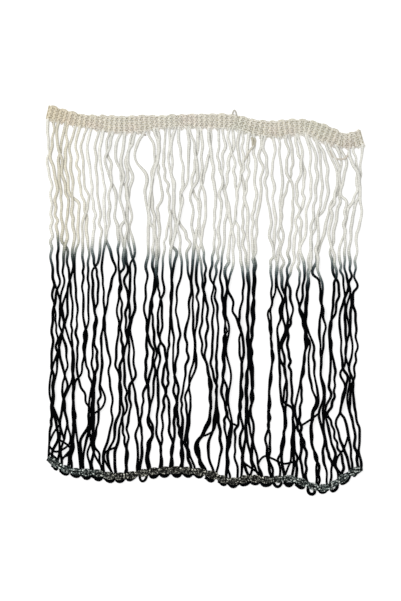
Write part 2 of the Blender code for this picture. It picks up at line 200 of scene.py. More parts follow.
@dataclass(frozen=True)
class TrimPlan:
    """Where the heading, the foot chain and the edge of the dye lie."""

    half_length: float = 130.6
    heading: TrimLine = TrimLine(
        (
            LineRow(-131.0, 156.1, 12.3),
            LineRow(-117.5, 152.7, 10.8),
            LineRow(-103.5, 149.2, 10.6),
            LineRow(-90.0, 147.5, 11.6),
            LineRow(-78.5, 146.1, 13.8),
            LineRow(-61.0, 145.7, 14.0),
            LineRow(-50.0, 146.6, 13.8),
            LineRow(-42.0, 147.4, 11.8),
            LineRow(-9.0, 148.6, 11.5),
            LineRow(9.5, 148.4, 12.3),
            LineRow(26.0, 147.6, 12.0),
            LineRow(41.5, 143.5, 12.7),
            LineRow(56.5, 141.6, 13.8),
            LineRow(75.5, 143.6, 12.8),
            LineRow(85.0, 143.4, 12.0),
            LineRow(95.0, 139.9, 14.2),
            LineRow(104.0, 136.3, 13.9),
            LineRow(114.0, 132.6, 12.2),
            LineRow(120.5, 132.4, 12.9),
            LineRow(131.0, 135.4, 13.2),
        )
    )
    foot: TrimLine = TrimLine(
        (
            LineRow(-131.5, -131.0),
            LineRow(-127.0, -133.7),
            LineRow(-118.5, -139.3),
            LineRow(-110.0, -142.2),
            LineRow(-89.5, -144.0),
            LineRow(-76.0, -146.6),
            LineRow(-61.0, -145.7),
            LineRow(-47.0, -143.1),
            LineRow(-13.0, -142.0),
            LineRow(5.5, -145.2),
            LineRow(13.5, -148.4),
            LineRow(24.5, -150.8),
            LineRow(34.5, -148.6),
            LineRow(53.5, -149.6),
            LineRow(73.5, -149.2),
            LineRow(84.0, -152.8),
            LineRow(93.0, -156.0),
            LineRow(102.5, -155.3),
            LineRow(112.5, -149.7),
            LineRow(120.0, -144.7),
            LineRow(131.5, -139.6),
        )
    )
    dye: TrimLine = TrimLine(
        (
            LineRow(-131.0, 43.0),
            LineRow(-124.0, 42.0),
            LineRow(-106.0, 37.5),
            LineRow(-81.5, 43.0),
            LineRow(-60.5, 41.5),
            LineRow(-42.5, 33.0),
            LineRow(-26.0, 33.0),
            LineRow(-2.5, 29.0),
            LineRow(29.0, 29.0),
            LineRow(62.5, 23.5),
            LineRow(79.0, 27.5),
            LineRow(93.0, 21.0),
            LineRow(112.0, 30.5),
            LineRow(131.0, 24.0),
        )
    )

    def heading_half(self, x: float | np.ndarray) -> np.ndarray:
        """Half of the heading's height at each place."""
        return 0.5 * self.heading.read(x, "height")


@dataclass(frozen=True)
class Form:
    """A small closed form in millimetres, made once and copied."""

    points: np.ndarray
    faces: list[tuple[int, ...]]
    corners: np.ndarray

    def placed(self, turn: float, middle: np.ndarray, dip: float) -> np.ndarray:
        """Points of one copy.

        Args:
            turn: Angle about Z, in radians.
            middle: Where the form's middle goes.
            dip: How far the form's ends bend down.

        Returns:
            The copy's points, one row each.
        """
        x, y, z = self.points.T
        reach = np.abs(x).max()
        z = z - dip * (x / reach) ** 2
        c, s = math.cos(turn), math.sin(turn)
        return np.stack([c * x - s * y, s * x + c * y, z], axis=1) + middle


@dataclass
class MeshBuilder:
    """Gathers tubes of yarn and copied forms that become one joined mesh."""

    name: str
    points: list[np.ndarray] = field(default_factory=list)
    faces: list[tuple[int, ...]] = field(default_factory=list)
    corners: list[np.ndarray] = field(default_factory=list)
    marks: dict[str, list[np.ndarray]] = field(default_factory=dict)
    count: int = 0

    def add(
        self,
        points: np.ndarray,
        faces: list[tuple[int, ...]],
        corners: np.ndarray,
        marks: dict[str, float | np.ndarray],
    ) -> None:
        """Add one closed form.

        Args:
            points: Its points in millimetres.
            faces: Its faces, counted from its own first point.
            corners: A UV pair for each corner of each face, in order.
            marks: For each attribute, one value or one for each point.
        """
        first = self.count
        self.points.append(points)
        self.faces.extend(tuple(first + n for n in face) for face in faces)
        self.corners.append(corners)
        for name, values in marks.items():
            self.marks.setdefault(name, []).append(np.broadcast_to(values, len(points)))
        self.count += len(points)

    def copy(
        self, form: Form, turn: float, middle: np.ndarray, dip: float, twists: float, **marks: float
    ) -> None:
        """Add a copy of a small form of thread.

        Args:
            form: The form.
            turn: The copy's angle about Z, in radians.
            middle: Where its middle goes.
            dip: How far its ends bend down.
            twists: How often the thread's twist repeats along it.
            **marks: For each attribute, its value on the copy.
        """
        points = form.placed(turn, middle, dip)
        self.add(points, form.faces, form.corners * (twists, 1.0), {**marks, "edge": 0.0})

    def tube(
        self,
        path: np.ndarray,
        radius: float | np.ndarray,
        stitch: float,
        sides: int = 8,
        knit: float = 0.0,
        turn: float | np.ndarray = 0.0,
        flat: float = 1.0,
        **marks: float | np.ndarray,
    ) -> None:
        """Add a tube of yarn with closed ends.

        Args:
            path: The middle of the yarn, one row for each ring.
            radius: The yarn's radius, for all rings or for each.
            stitch: Length of yarn that takes up 1 of V in the UV map.
            sides: Points in a ring.
            knit: Share of the radius by which the knitted stitches swell.
            turn: Angle that the rings are turned by.
            flat: The yarn's height as a share of its width.
            **marks: For each attribute, one value or one for each ring. The attribute "edge" is added: 1
                     at the yarn's sides and 0 on top; the dyed yarn's finish uses it for painted shade at
                     the sides.
        """
        rings = len(path)
        ahead = np.gradient(path, axis=0)
        ahead /= np.linalg.norm(ahead, axis=1, keepdims=True)
        side = np.stack([-ahead[:, 1], ahead[:, 0], np.zeros(rings)], axis=1)
        side /= np.linalg.norm(side, axis=1, keepdims=True)
        up = flat * np.cross(ahead, side)
        i, k = np.meshgrid(np.arange(rings), np.arange(sides), indexing="ij")
        angle = FULL_TURN * k / sides + np.reshape(turn, (-1, 1))
        swell = 1.0 + knit * np.where((i + k) % 2 == 1, 1.0, -1.0)
        reach = np.reshape(radius, (-1, 1)) * swell
        points = path[:, None, :] + side[:, None, :] * (reach * np.cos(angle))[..., None]
        points = points + up[:, None, :] * (reach * np.sin(angle))[..., None]
        i, k = i[:-1].ravel(), k[:-1].ravel()
        after = (k + 1) % sides
        quads = np.stack([i * sides + k, i * sides + after], axis=1)
        quads = np.concatenate([quads, quads[:, ::-1] + sides], axis=1)
        steps = np.linalg.norm(np.diff(path, axis=0), axis=1)
        run = np.concatenate([[0.0], np.cumsum(steps)]) / stitch
        low, high = k / sides, (k + 1) / sides
        corners = np.stack(
            [low, run[i], high, run[i], high, run[i + 1], low, run[i + 1]], axis=1
        ).reshape(-1, 2)
        last_ring = (rings - 1) * sides
        caps = [tuple(range(sides - 1, -1, -1)), tuple(range(last_ring, last_ring + sides))]
        spread = {
            name: np.repeat(np.broadcast_to(values, rings), sides)
            for name, values in marks.items()
        }
        spread["edge"] = np.broadcast_to(np.cos(angle) ** 2, reach.shape).ravel()
        self.add(
            points.reshape(-1, 3),
            [tuple(q) for q in quads.tolist()] + caps,
            np.concatenate([corners, np.zeros((2 * sides, 2))]),
            spread,
        )

    def build(self, material: bpy.types.Material, slot: Slot) -> bpy.types.Object:
        """Make the piece and let it ride on the trim.

        Args:
            material: The piece's finish.
            slot: The record's slot for the finish. Not used.

        Returns:
            The finished piece.
        """
        mesh = bpy.data.meshes.new(self.name)
        mesh.from_pydata((MM * np.concatenate(self.points)).tolist(), [], self.faces)
        layer = mesh.uv_layers.new(name="UVMap")
        layer.data.foreach_set("uv", np.concatenate(self.corners).astype(np.float32).ravel())
        for name, values in self.marks.items():
            attribute = mesh.attributes.new(name, "FLOAT", "POINT")
            attribute.data.foreach_set("value", np.concatenate(values).astype(np.float32))
        mesh.shade_smooth()
        mesh.materials.append(material)
        piece = bpy.data.objects.new(self.name, mesh)
        bpy.context.scene.collection.objects.link(piece)
        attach(piece, "root")
        triangles = sum(len(face) - 2 for face in self.faces)
        log.info("%s: %d triangles", self.name, triangles)
        return piece


@dataclass(frozen=True)
class ThreadLink:
    """One long loop of thread, as a chain stitch shows it.

    Attributes:
        tip: Width of the loop's right end as a share of the whole width.
        around: Points round the loop.
        sides: Points round its thread.
    """

    length: float
    width: float
    thread: float
    tip: float = 1.0
    around: int = 12
    sides: int = 5

    def model(self) -> Form:
        """Model the loop from a ring that is drawn out and narrowed at one end.

        Returns:
            The loop, with its middle at the origin.
        """
        bpy.ops.object.select_all(action="DESELECT")
        bpy.ops.mesh.primitive_torus_add(
            major_segments=self.around,
            minor_segments=self.sides,
            major_radius=0.5 * MM * (self.width - self.thread),
            minor_radius=0.5 * MM * self.thread,
            generate_uvs=True,
        )
        ring = bpy.context.active_object
        draw_out = 0.5 * MM * (self.length - self.width)
        bpy.ops.object.mode_set(mode="EDIT")
        for side in (1.0, -1.0):
            self.select_side(ring, side)
            bpy.ops.transform.translate(value=(side * draw_out, 0.0, 0.0))
        self.select_side(ring, 1.0)
        bpy.ops.transform.resize(value=(1.0, self.tip, 1.0), center_override=(0.0, 0.0, 0.0))
        bpy.ops.object.mode_set(mode="OBJECT")
        mesh = ring.data
        points = np.array([v.co[:] for v in mesh.vertices]) / MM
        faces = [tuple(polygon.vertices) for polygon in mesh.polygons]
        corners = np.array([loop.uv[:] for loop in mesh.uv_layers.active.data])
        bpy.data.objects.remove(ring, do_unlink=True)
        return Form(points, faces, corners)

    def select_side(self, ring: bpy.types.Object, side: float) -> None:
        """Select the ring's points on one side of its middle.

        Args:
            ring: The ring, in edit mode.
            side: 1 for the right side and -1 for the left.
        """
        middle_room = 0.01 * MM
        bpy.ops.mesh.select_all(action="DESELECT")
        work = bmesh.from_edit_mesh(ring.data)
        for vert in work.verts:
            vert.select = side * vert.co.x > middle_room
        work.select_flush_mode()
        bmesh.update_edit_mesh(ring.data)


class Recipe:
    """A material under construction, with short words for its nodes."""

    def __init__(self, name: str, roughness: float, specular: float, sheen: float) -> None:
        """Start a material.

        Args:
            name: The material's name.
            roughness: Roughness of the yarn.
            specular: Strength of its highlight.
            sheen: Strength of the soft glow of its fibres.
        """
        self.material = bpy.data.materials.new(name)
        self.material.use_nodes = True
        self.tree = self.material.node_tree
        self.shader = self.tree.nodes["Principled BSDF"]
        self.shader.inputs["Roughness"].default_value = roughness
        self.shader.inputs["Specular IOR Level"].default_value = specular
        self.shader.inputs["Sheen Weight"].default_value = sheen

    def add(self, kind: str, **settings: object) -> bpy.types.Node:
        """Add a node.

        Args:
            kind: The node's type.
            **settings: Its properties.

        Returns:
            The node.
        """
        made = self.tree.nodes.new(kind)
        for name, value in settings.items():
            setattr(made, name, value)
        return made

    def feed(self, socket: bpy.types.NodeSocket, value: object) -> None:
        """Fill a node's input.

        Args:
            socket: The input.
            value: Another socket to link to it, or a plain value.
        """
        if isinstance(value, bpy.types.NodeSocket):
            self.tree.links.new(value, socket)
        else:
            socket.default_value = value

    def calc(self, operation: str, *values: object) -> bpy.types.NodeSocket:
        """Work out a number.

        Args:
            operation: The sum's name in Blender.
            *values: Numbers or sockets.

        Returns:
            The socket that holds the result.
        """
        made = self.add("ShaderNodeMath", operation=operation)
        for socket, value in zip(made.inputs, values):
            self.feed(socket, value)
        return made.outputs[0]

    def between(self, share: object, low: float, high: float) -> bpy.types.NodeSocket:
        """Turn a share from 0 to 1 into a value from low to high."""
        return self.calc("MULTIPLY_ADD", share, high - low, low)

    def product(self, *factors: object) -> bpy.types.NodeSocket:
        """Multiply numbers, from the first to the last.

        Args:
            *factors: Two or more numbers or sockets.

        Returns:
            The socket that holds the result.
        """
        result = factors[0]
        for factor in factors[1:]:
            result = self.calc("MULTIPLY", result, factor)
        return result

    def wave(self, kind: str, turns: object) -> bpy.types.NodeSocket:
        """Read a wave that swings between 0 and 1.

        Args:
            kind: The wave's name in Blender.
            turns: How many times it has swung there and back.

        Returns:
            The socket with the wave.
        """
        swing = self.calc(kind, self.calc("MULTIPLY", turns, FULL_TURN))
        return self.calc("MULTIPLY_ADD", swing, 0.5, 0.5)

    def mark(self, name: str) -> bpy.types.NodeSocket:
        """Read one of the piece's own attributes."""
        return self.add("ShaderNodeAttribute", attribute_name=name).outputs["Fac"]

    def coordinates(self, kind: str) -> bpy.types.NodeOutputs:
        """Read the texture coordinates of a kind.

        Args:
            kind: Their name in Blender.

        Returns:
            The sockets with the first, second and third coordinate.
        """
        split = self.add("ShaderNodeSeparateXYZ")
        self.feed(split.inputs[0], self.add("ShaderNodeTexCoord").outputs[kind])
        return split.outputs

    def uv(self) -> tuple[bpy.types.NodeSocket, bpy.types.NodeSocket]:
        """Read the UV map, as the share round the yarn and the stitches along it."""
        return tuple(self.coordinates("UV")[:2])

    def along_trim(self) -> bpy.types.NodeSocket:
        """Read the place along the trim, in metres."""
        return self.coordinates("Object")[0]

    def noise(self, scale: float, detail: float = 2.0) -> bpy.types.NodeSocket:
        """Read a soft noise over the object.

        Args:
            scale: Patches for each metre.
            detail: Finer octaves.

        Returns:
            The socket with the noise, about 0.5 on average.
        """
        made = self.add("ShaderNodeTexNoise")
        self.feed(made.inputs["Vector"], self.add("ShaderNodeTexCoord").outputs["Object"])
        made.inputs["Scale"].default_value = scale
        made.inputs["Detail"].default_value = detail
        return made.outputs[0]

    def ramp(self, share: object, stops: tuple[tuple[float, str], ...]) -> bpy.types.NodeSocket:
        """Shade through a row of colours.

        Args:
            share: Where to read the row, from 0 to 1.
            stops: Each colour's place and code.

        Returns:
            The socket with the colour.
        """
        made = self.add("ShaderNodeValToRGB")
        made.color_ramp.interpolation = "EASE"
        row = made.color_ramp.elements
        while len(row) < len(stops):
            row.new(1.0)
        for stop, (place, code) in zip(row, stops):
            stop.position = place
            stop.color = linear(code)
        self.feed(made.inputs[0], share)
        return made.outputs[0]

    def shade(self, colour: object, share: object) -> bpy.types.NodeSocket:
        """Darken a colour.

        Args:
            colour: The colour's socket.
            share: What is kept of its light, from 0 to 1.

        Returns:
            The socket with the darker colour.
        """
        made = self.add("ShaderNodeVectorMath", operation="SCALE")
        self.feed(made.inputs[0], colour)
        self.feed(made.inputs["Scale"], share)
        return made.outputs[0]

    def tint(self, colour: object, share: object, code: str) -> bpy.types.NodeSocket:
        """Multiply a colour by another.

        Args:
            colour: The colour's socket.
            share: How far the tint goes, from 0 to 1.
            code: The tint's code.

        Returns:
            The socket with the tinted colour.
        """
        return self.blend(share, colour, linear(code), "MULTIPLY")

    def blend(
        self, share: object, first: object, second: object, way: str = "MIX"
    ) -> bpy.types.NodeSocket:
        """Lay a colour over another.

        Args:
            share: How far the second colour covers the first, from 0 to 1.
            first: A colour.
            second: Another colour.
            way: How the second one lies on the first, by its name in Blender.

        Returns:
            The socket with the blended colour.
        """
        under, over, result = 6, 7, 2
        made = self.add("ShaderNodeMix", data_type="RGBA", blend_type=way)
        self.feed(made.inputs[0], share)
        self.feed(made.inputs[under], first)
        self.feed(made.inputs[over], second)
        return made.outputs[result]

    def finish(self, colour: object, height: object, depth: float) -> bpy.types.Material:
        """Set the colour and the relief.

        Args:
            colour: The yarn's colour.
            height: The relief, from 0 to 1.
            depth: The relief's depth in millimetres.

        Returns:
            The finished material.
        """
        bump = self.add("ShaderNodeBump")
        bump.inputs["Strength"].default_value = 1.0
        bump.inputs["Distance"].default_value = depth * MM
        self.feed(bump.inputs["Height"], height)
        self.feed(self.shader.inputs["Normal"], bump.outputs[0])
        self.feed(self.shader.inputs["Base Color"], colour)
        return self.material


@dataclass(frozen=True)
class ChainetteFinish:
    """Chainette yarn, knitted in fine wales and dip-dyed from cream to black.

    A pair of lights is the light where a share is 0 and where it is 1. The stitch pair is painted shade
    in the hollows between the stitches, and the side pair is a painted highlight on the yarn's top with
    painted shade at its sides.

    Attributes:
        stops: Colour of the yarn at shares of the dye.
        speckle_in_fade: How much of the speckle shows where the dye fades.
        stitch_dye: How far the dye is ahead on a stitch's sides and behind on its top.
    """

    wales: int = 4
    warm: str = "#f5f0e3"
    stops: tuple[tuple[float, str], ...] = (
        (0.0, "#dddcd5"),
        (0.18, "#c5c6be"),
        (0.42, "#848d8b"),
        (0.62, "#414c4f"),
        (0.83, "#11171a"),
        (1.0, "#020203"),
    )
    fibre_scale: float = 2600.0
    speckle_scale: float = 900.0
    speckle: float = 0.25
    speckle_in_fade: float = 3.0
    mottle_scale: float = 420.0
    stitch_dye: float = 0.07
    # Painted shade: the yarn is darker in the hollows between its stitches.
    painted_stitch_shade: tuple[float, float] = (0.8, 1.0)
    fibre_light: tuple[float, float] = (0.9, 1.1)
    mottle_light: tuple[float, float] = (0.75, 1.25)
    tone_light: tuple[float, float] = (0.92, 1.06)
    # Painted light: a painted highlight on the yarn's top and painted shade at its sides, as light falls
    # on a round yarn.
    painted_side_shade: tuple[float, float] = (1.1, 0.8)
    fibre_relief: float = 0.3
    relief_depth: float = 0.16

    def material(self) -> bpy.types.Material:
        """Mix the yarn's finish: its stitches, its dye and the painted light and shade on it.

        Returns:
            The finished material.
        """
        recipe = Recipe("dip_dyed_chainette", roughness=0.85, specular=0.01, sheen=0.0)
        around, along = recipe.uv()
        wale = recipe.calc("FRACT", recipe.calc("MULTIPLY", around, self.wales))
        slant = recipe.calc("ABSOLUTE", recipe.calc("SUBTRACT", wale, 0.5))
        stitch = recipe.wave("COSINE", recipe.calc("ADD", along, slant))
        fibre = recipe.noise(self.fibre_scale)
        speckle = recipe.between(recipe.noise(self.speckle_scale), -self.speckle, self.speckle)
        mottle = recipe.noise(self.mottle_scale)
        on_stitch = recipe.between(stitch, self.stitch_dye, -self.stitch_dye)
        dye = recipe.calc("ADD", recipe.mark("dye"), on_stitch)
        in_fade = recipe.product(dye, recipe.calc("SUBTRACT", 1.0, dye), self.speckle_in_fade)
        dye = recipe.calc("MULTIPLY_ADD", in_fade, speckle, dye)
        colour = recipe.tint(recipe.ramp(dye, self.stops), recipe.mark("warmth"), self.warm)
        # Painted light and shade from the stitches and the yarn's sides, with the yarn's own random tone,
        # fibre and mottle.
        light = recipe.product(
            recipe.between(stitch, *self.painted_stitch_shade),
            recipe.between(fibre, *self.fibre_light),
            recipe.between(mottle, *self.mottle_light),
            recipe.between(recipe.mark("tone"), *self.tone_light),
            recipe.between(recipe.mark("edge"), *self.painted_side_shade),
        )
        relief = recipe.calc("MULTIPLY_ADD", fibre, self.fibre_relief, stitch)
        return recipe.finish(recipe.shade(colour, light), relief, self.relief_depth)


@dataclass(frozen=True)
class CreamKnitFinish:
    """Undyed cotton-like yarn in faint patches, which turns tan at the trim's left side.

    Attributes:
        patch_places: Where the noise shows the dark, the light and the warm patches.
        tan_place: X where the tan begins, and X where it is full.
        tone_light: The light where the yarn's tone is 0 and where it is 1. The tone is painted shade on
            the cloth, on the weft's crowns and on the stitches in the valleys; on the other yarns it is
            their own lightness, which varies at random.
    """

    name: str
    light: str
    dark: str
    warm: str
    patch_scale: float = 45.0
    patch_places: tuple[float, float, float] = (0.35, 0.52, 0.68)
    tan: str = "#f0e4cb"
    tan_place: tuple[float, float] = (-75.0, -125.0)
    tan_share: float = 0.56
    plies: float = 2.0
    fibre_scale: float = 3000.0
    # Painted shade: the yarn is darker in the grooves between its twisted plies.
    painted_ply_shade: tuple[float, float] = (0.78, 0.93)
    fibre_light: float = 0.16
    tone_light: tuple[float, float] = (0.64, 1.0)
    fibre_relief: float = 0.4
    relief_depth: float = 0.08

    def material(self) -> bpy.types.Material:
        """Mix the yarn's finish: its patches, its tan side, and its twisted plies with painted shade in
        the grooves between them.

        Returns:
            The finished material.
        """
        recipe = Recipe(self.name, roughness=0.85, specular=0.15, sheen=0.08)
        around, along = recipe.uv()
        ply = recipe.wave("SINE", recipe.calc("MULTIPLY_ADD", around, self.plies, along))
        codes = (self.dark, self.light, self.warm)
        colour = recipe.ramp(recipe.noise(self.patch_scale), tuple(zip(self.patch_places, codes)))
        at_left = recipe.add("ShaderNodeMapRange")
        at_left.inputs["From Min"].default_value = self.tan_place[0] * MM
        at_left.inputs["From Max"].default_value = self.tan_place[1] * MM
        at_left.inputs["To Max"].default_value = self.tan_share
        recipe.feed(at_left.inputs["Value"], recipe.along_trim())
        warmth = recipe.calc("MAXIMUM", recipe.mark("warmth"), at_left.outputs[0])
        fibre = recipe.noise(self.fibre_scale)
        light = recipe.between(ply, *self.painted_ply_shade)
        light = recipe.calc("MULTIPLY_ADD", fibre, self.fibre_light, light)
        light = recipe.product(light, recipe.between(recipe.mark("tone"), *self.tone_light))
        relief = recipe.calc("MULTIPLY_ADD", fibre, self.fibre_relief, ply)
        colour = recipe.shade(recipe.tint(colour, warmth, self.tan), light)
        return recipe.finish(colour, relief, self.relief_depth)


@dataclass(frozen=True)
class ChainThreadFinish:
    """Twisted thread in mixed greys, blue-green at the sides and darker between."""

    cool: tuple[str, str, str] = ("#0b100f", "#525d5b", "#cfd5cf")
    warm: tuple[str, str, str] = ("#070706", "#42423d", "#b9b8ac")
    places: tuple[float, float, float] = (0.28, 0.62, 0.92)
    speck_scale: float = 650.0
    speck_range: tuple[float, float] = (-1.33, 2.27)
    speck_share: float = 0.75
    relief_depth: float = 0.1

    def material(self) -> bpy.types.Material:
        """Mix the thread's finish: dark, middle and light flecks in two greys, scaled by each copy's
        painted light.

        Returns:
            The finished material.
        """
        recipe = Recipe("mixed_grey_thread", roughness=0.8, specular=0.1, sheen=0.0)
        around, along = recipe.uv()
        ply = recipe.wave("SINE", recipe.calc("ADD", around, along))
        speck = recipe.between(recipe.noise(self.speck_scale), *self.speck_range)
        specks = recipe.calc("MULTIPLY", speck, self.speck_share)
        share = recipe.calc("MULTIPLY_ADD", ply, 1.0 - self.speck_share, specks)
        warm = recipe.ramp(share, tuple(zip(self.places, self.warm)))
        cool = recipe.ramp(share, tuple(zip(self.places, self.cool)))
        colour = recipe.blend(recipe.mark("tone"), warm, cool)
        # The "light" mark is painted light: a painted highlight on the knots, painted shade on the links
        # and on the core.
        return recipe.finish(recipe.shade(colour, recipe.mark("light")), ply, self.relief_depth)


@dataclass(frozen=True)
class HeadingPart:
    """Places on the knitted heading, which its parts share."""

    plan: TrimPlan
    rib_count: int = 63

    def rib_pitch(self) -> float:
        """Distance between neighbouring ribs."""
        return 2.0 * self.plan.half_length / self.rib_count

    def rib_place(self, rib: float) -> float:
        """X of a rib's middle, with the ribs counted from 0 at the left."""
        return -self.plan.half_length + (rib + 0.5) * self.rib_pitch()

    def place(
        self, x: float | np.ndarray, rise: float | np.ndarray, z: float | np.ndarray
    ) -> np.ndarray:
        """Find points over the heading.

        Args:
            x: Places along the trim.
            rise: Distance of each point above the heading's lower edge.
            z: Height of each point above the surface.

        Returns:
            The points, one row each.
        """
        plan = self.plan.heading.place(x, np.asarray(rise) - self.plan.heading_half(x))
        return np.column_stack([plan, np.broadcast_to(z, len(plan))])

    def height_at(self, x: float) -> float:
        """The heading's height at a place along the trim."""
        return 2.0 * float(self.plan.heading_half(x)[0])


@dataclass(frozen=True)
class EdgePoint:
    """One corner of the heading cloth's section, as an inset from an edge and a level."""

    at_top_edge: bool
    inset: float
    level: float


@dataclass(frozen=True)
class HeadingCloth(HeadingPart):
    """The thin cloth that shows between the heading's yarns, darkened with painted shade."""

    thickness: float = 1.5
    stations_per_rib: int = 4
    # Painted shade: the low tone darkens the cloth, as shade between the heading's yarns.
    tone: float = 0.15
    section: tuple[EdgePoint, ...] = (
        EdgePoint(False, 0.4, 0.0),
        EdgePoint(True, 0.5, 0.0),
        EdgePoint(True, 0.4, 0.5),
        EdgePoint(True, 0.5, 1.0),
        EdgePoint(False, 0.6, 1.0),
        EdgePoint(False, 0.3, 0.5),
    )

    def build(self, material: bpy.types.Material) -> bpy.types.Object:
        """Args:
            material: The cloth's finish.

        Returns:
            The cloth.
        """
        builder = MeshBuilder("heading_cloth")
        half = self.plan.half_length
        stations = np.linspace(-half, half, self.stations_per_rib * self.rib_count + 1)
        height = 2.0 * self.plan.heading_half(stations)
        rings = []
        for corner in self.section:
            rise = height - corner.inset if corner.at_top_edge else np.full(len(height), corner.inset)
            rings.append(self.place(stations, rise, corner.level * self.thickness))
        points = np.stack(rings, axis=1)
        size, last = len(self.section), len(stations) - 1
        faces = [tuple(range(size))]
        for i in range(last):
            for k in range(size):
                after = (k + 1) % size
                faces.append((i * size + k, (i + 1) * size + k, (i + 1) * size + after, i * size + after))
        faces.append(tuple(range((last + 1) * size - 1, last * size - 1, -1)))
        corners = np.zeros((sum(len(face) for face in faces), 2))
        builder.add(points.reshape(-1, 3), faces, corners, {"tone": self.tone, "edge": 0.0})
        cloth = builder.build(material, Slot.HEADING)
        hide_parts("heading")
        return cloth


@dataclass(frozen=True)
class HeadingWeft(HeadingPart):
    """The thick weft yarn that makes two ribs at a time, and the thin yarn on each rib.

    Attributes:
        span_spread: Width of a turn, as a share of the distance between its two ribs.
        crown_rise: How far a turn stands over the heading's edge, times its spread.
        crown_places: Where on the yarn the painted shade over the crown starts, where it is full, where
            it starts to fade and where it has gone.
        crest_insets: How far the thin yarn ends from the lower and the upper edge.
        crest_edges: X of the places past which the thin yarn stands out.
        crest_shares: How far it stands out past the left place and past the right.
    """

    radius: float = 1.3
    radius_spread: tuple[float, float] = (0.92, 1.02)
    flat: float = 0.7
    lift: float = 0.1
    step: float = 0.8
    twist: float = 2.4
    pass_foot: float = 0.3
    pass_points: int = 9
    span_spread: tuple[float, float] = (0.98, 1.08)
    shift: float = 0.3
    crown_rise: float = 0.5
    crown_spread: tuple[float, float] = (0.2, 1.5)
    arch_spread: tuple[float, float] = (0.3, 0.7)
    crown_places: tuple[float, float, float, float] = (0.38, 0.44, 0.56, 0.62)
    rib_tone: float = 0.55
    crown_shade_tone: float = 0.15
    tone_change: float = 0.2
    crest_radius: float = 0.45
    crest_sides: int = 6
    crest_points: int = 7
    crest_insets: tuple[float, float] = (0.5, 1.6)
    crest_sway: float = 0.45
    crest_base: float = 1.45
    crest_lift: float = 0.9
    crest_wave: float = 0.25
    crest_step: float = 0.7
    crest_twist: float = 1.6
    crest_tones: tuple[float, float] = (0.55, 0.9)
    crest_edges: tuple[float, float] = (-85.0, 76.0)
    crest_shares: tuple[float, float] = (0.55, 0.15)
    crest_softness: float = 6.0
    crest_change: float = 0.2

    def build(self, material: bpy.types.Material, rng: random.Random) -> bpy.types.Object:
        """Build the weft: a turn of thick yarn for two ribs, then a thin yarn up each rib.

        Args:
            material: The yarn's finish.
            rng: The heading's own random numbers.

        Returns:
            The weft.
        """
        builder = MeshBuilder("heading_weft")
        for rib in range(0, self.rib_count + 1, 2):
            self.add_turn(builder, rib, rng)
        for rib in range(self.rib_count):
            self.add_crest(builder, self.rib_place(rib), rng)
        return builder.build(material, Slot.HEADING)

    def add_turn(self, builder: MeshBuilder, rib: int, rng: random.Random) -> None:
        """Add one thick weft yarn: up one rib, round the top edge and down the next.

        Args:
            builder: The mesh that takes the yarn.
            rib: The first of its two ribs.
            rng: The heading's own random numbers.
        """
        left = self.rib_place(rib)
        right = left + self.rib_pitch()
        half_span = 0.5 * (right - left) * rng.uniform(*self.span_spread)
        middle = 0.5 * (left + right) + rng.uniform(-self.shift, self.shift)
        crown = self.height_at(middle) - self.radius + self.crown_rise * rng.uniform(*self.crown_spread)
        arch = rng.uniform(*self.arch_spread)
        count = self.pass_points
        climb = np.linspace(self.pass_foot, crown - arch, count)
        bow = np.linspace(0.0, math.pi, count)[1:-1]
        up, over = np.full(count, middle - half_span), middle - half_span * np.cos(bow)
        x = np.concatenate([up, over, np.full(count, middle + half_span)])
        rise = np.concatenate([climb, crown - arch + arch * np.sin(bow), climb[::-1]])
        end_room = 0.2 * self.radius
        keep = x < self.plan.half_length - end_room
        x, rise = x[keep], rise[keep]
        z = np.full(len(x), self.flat * self.radius + self.lift + rng.uniform(0.0, self.lift))
        path = smooth_path(self.place(x, rise, z), self.step)
        radius = self.radius * rng.uniform(*self.radius_spread)
        at = np.arange(len(path)) / (len(path) - 1)
        # Painted shade: the yarn is darker where it turns over the crown of the top edge.
        tones = (self.rib_tone, self.crown_shade_tone, self.crown_shade_tone, self.rib_tone)
        tone = np.interp(at, self.crown_places, tones)
        tone = tone + rng.uniform(-self.tone_change, self.tone_change)
        builder.tube(path, radius, self.twist, flat=self.flat, tone=tone)

    def crest_share(self, x: float) -> float:
        """Find how far the thin yarn stands out on a rib: most near the trim's sides.

        Args:
            x: The rib's place along the trim.

        Returns:
            A share, added to the share that each rib draws.
        """
        (left, right), (left_most, right_most) = self.crest_edges, self.crest_shares
        left_share = left_most * fade(x - left, self.crest_softness)
        return left_share + right_most * fade(right - x, self.crest_softness)

    def add_crest(self, builder: MeshBuilder, x: float, rng: random.Random) -> None:
        """Add the thin light yarn that runs up a rib.

        Args:
            builder: The mesh that takes the yarn.
            x: The rib's place along the trim.
            rng: The heading's own random numbers.
        """
        count, sway, wave = self.crest_points, self.crest_sway, self.crest_wave
        foot, below_top = self.crest_insets
        rise = np.linspace(foot, self.height_at(x) - below_top, count)
        aside = np.array([rng.uniform(-sway, sway) for _ in range(count)])
        share = self.crest_share(x) + rng.uniform(-self.crest_change, self.crest_change)
        waves = np.array([rng.uniform(-wave, wave) for _ in range(count)])
        z = self.crest_base + self.crest_lift * share + waves
        path = smooth_path(self.place(x + aside, rise, z), self.crest_step)
        tone = rng.uniform(*self.crest_tones)
        builder.tube(path, self.crest_radius, self.crest_twist, sides=self.crest_sides, tone=tone)


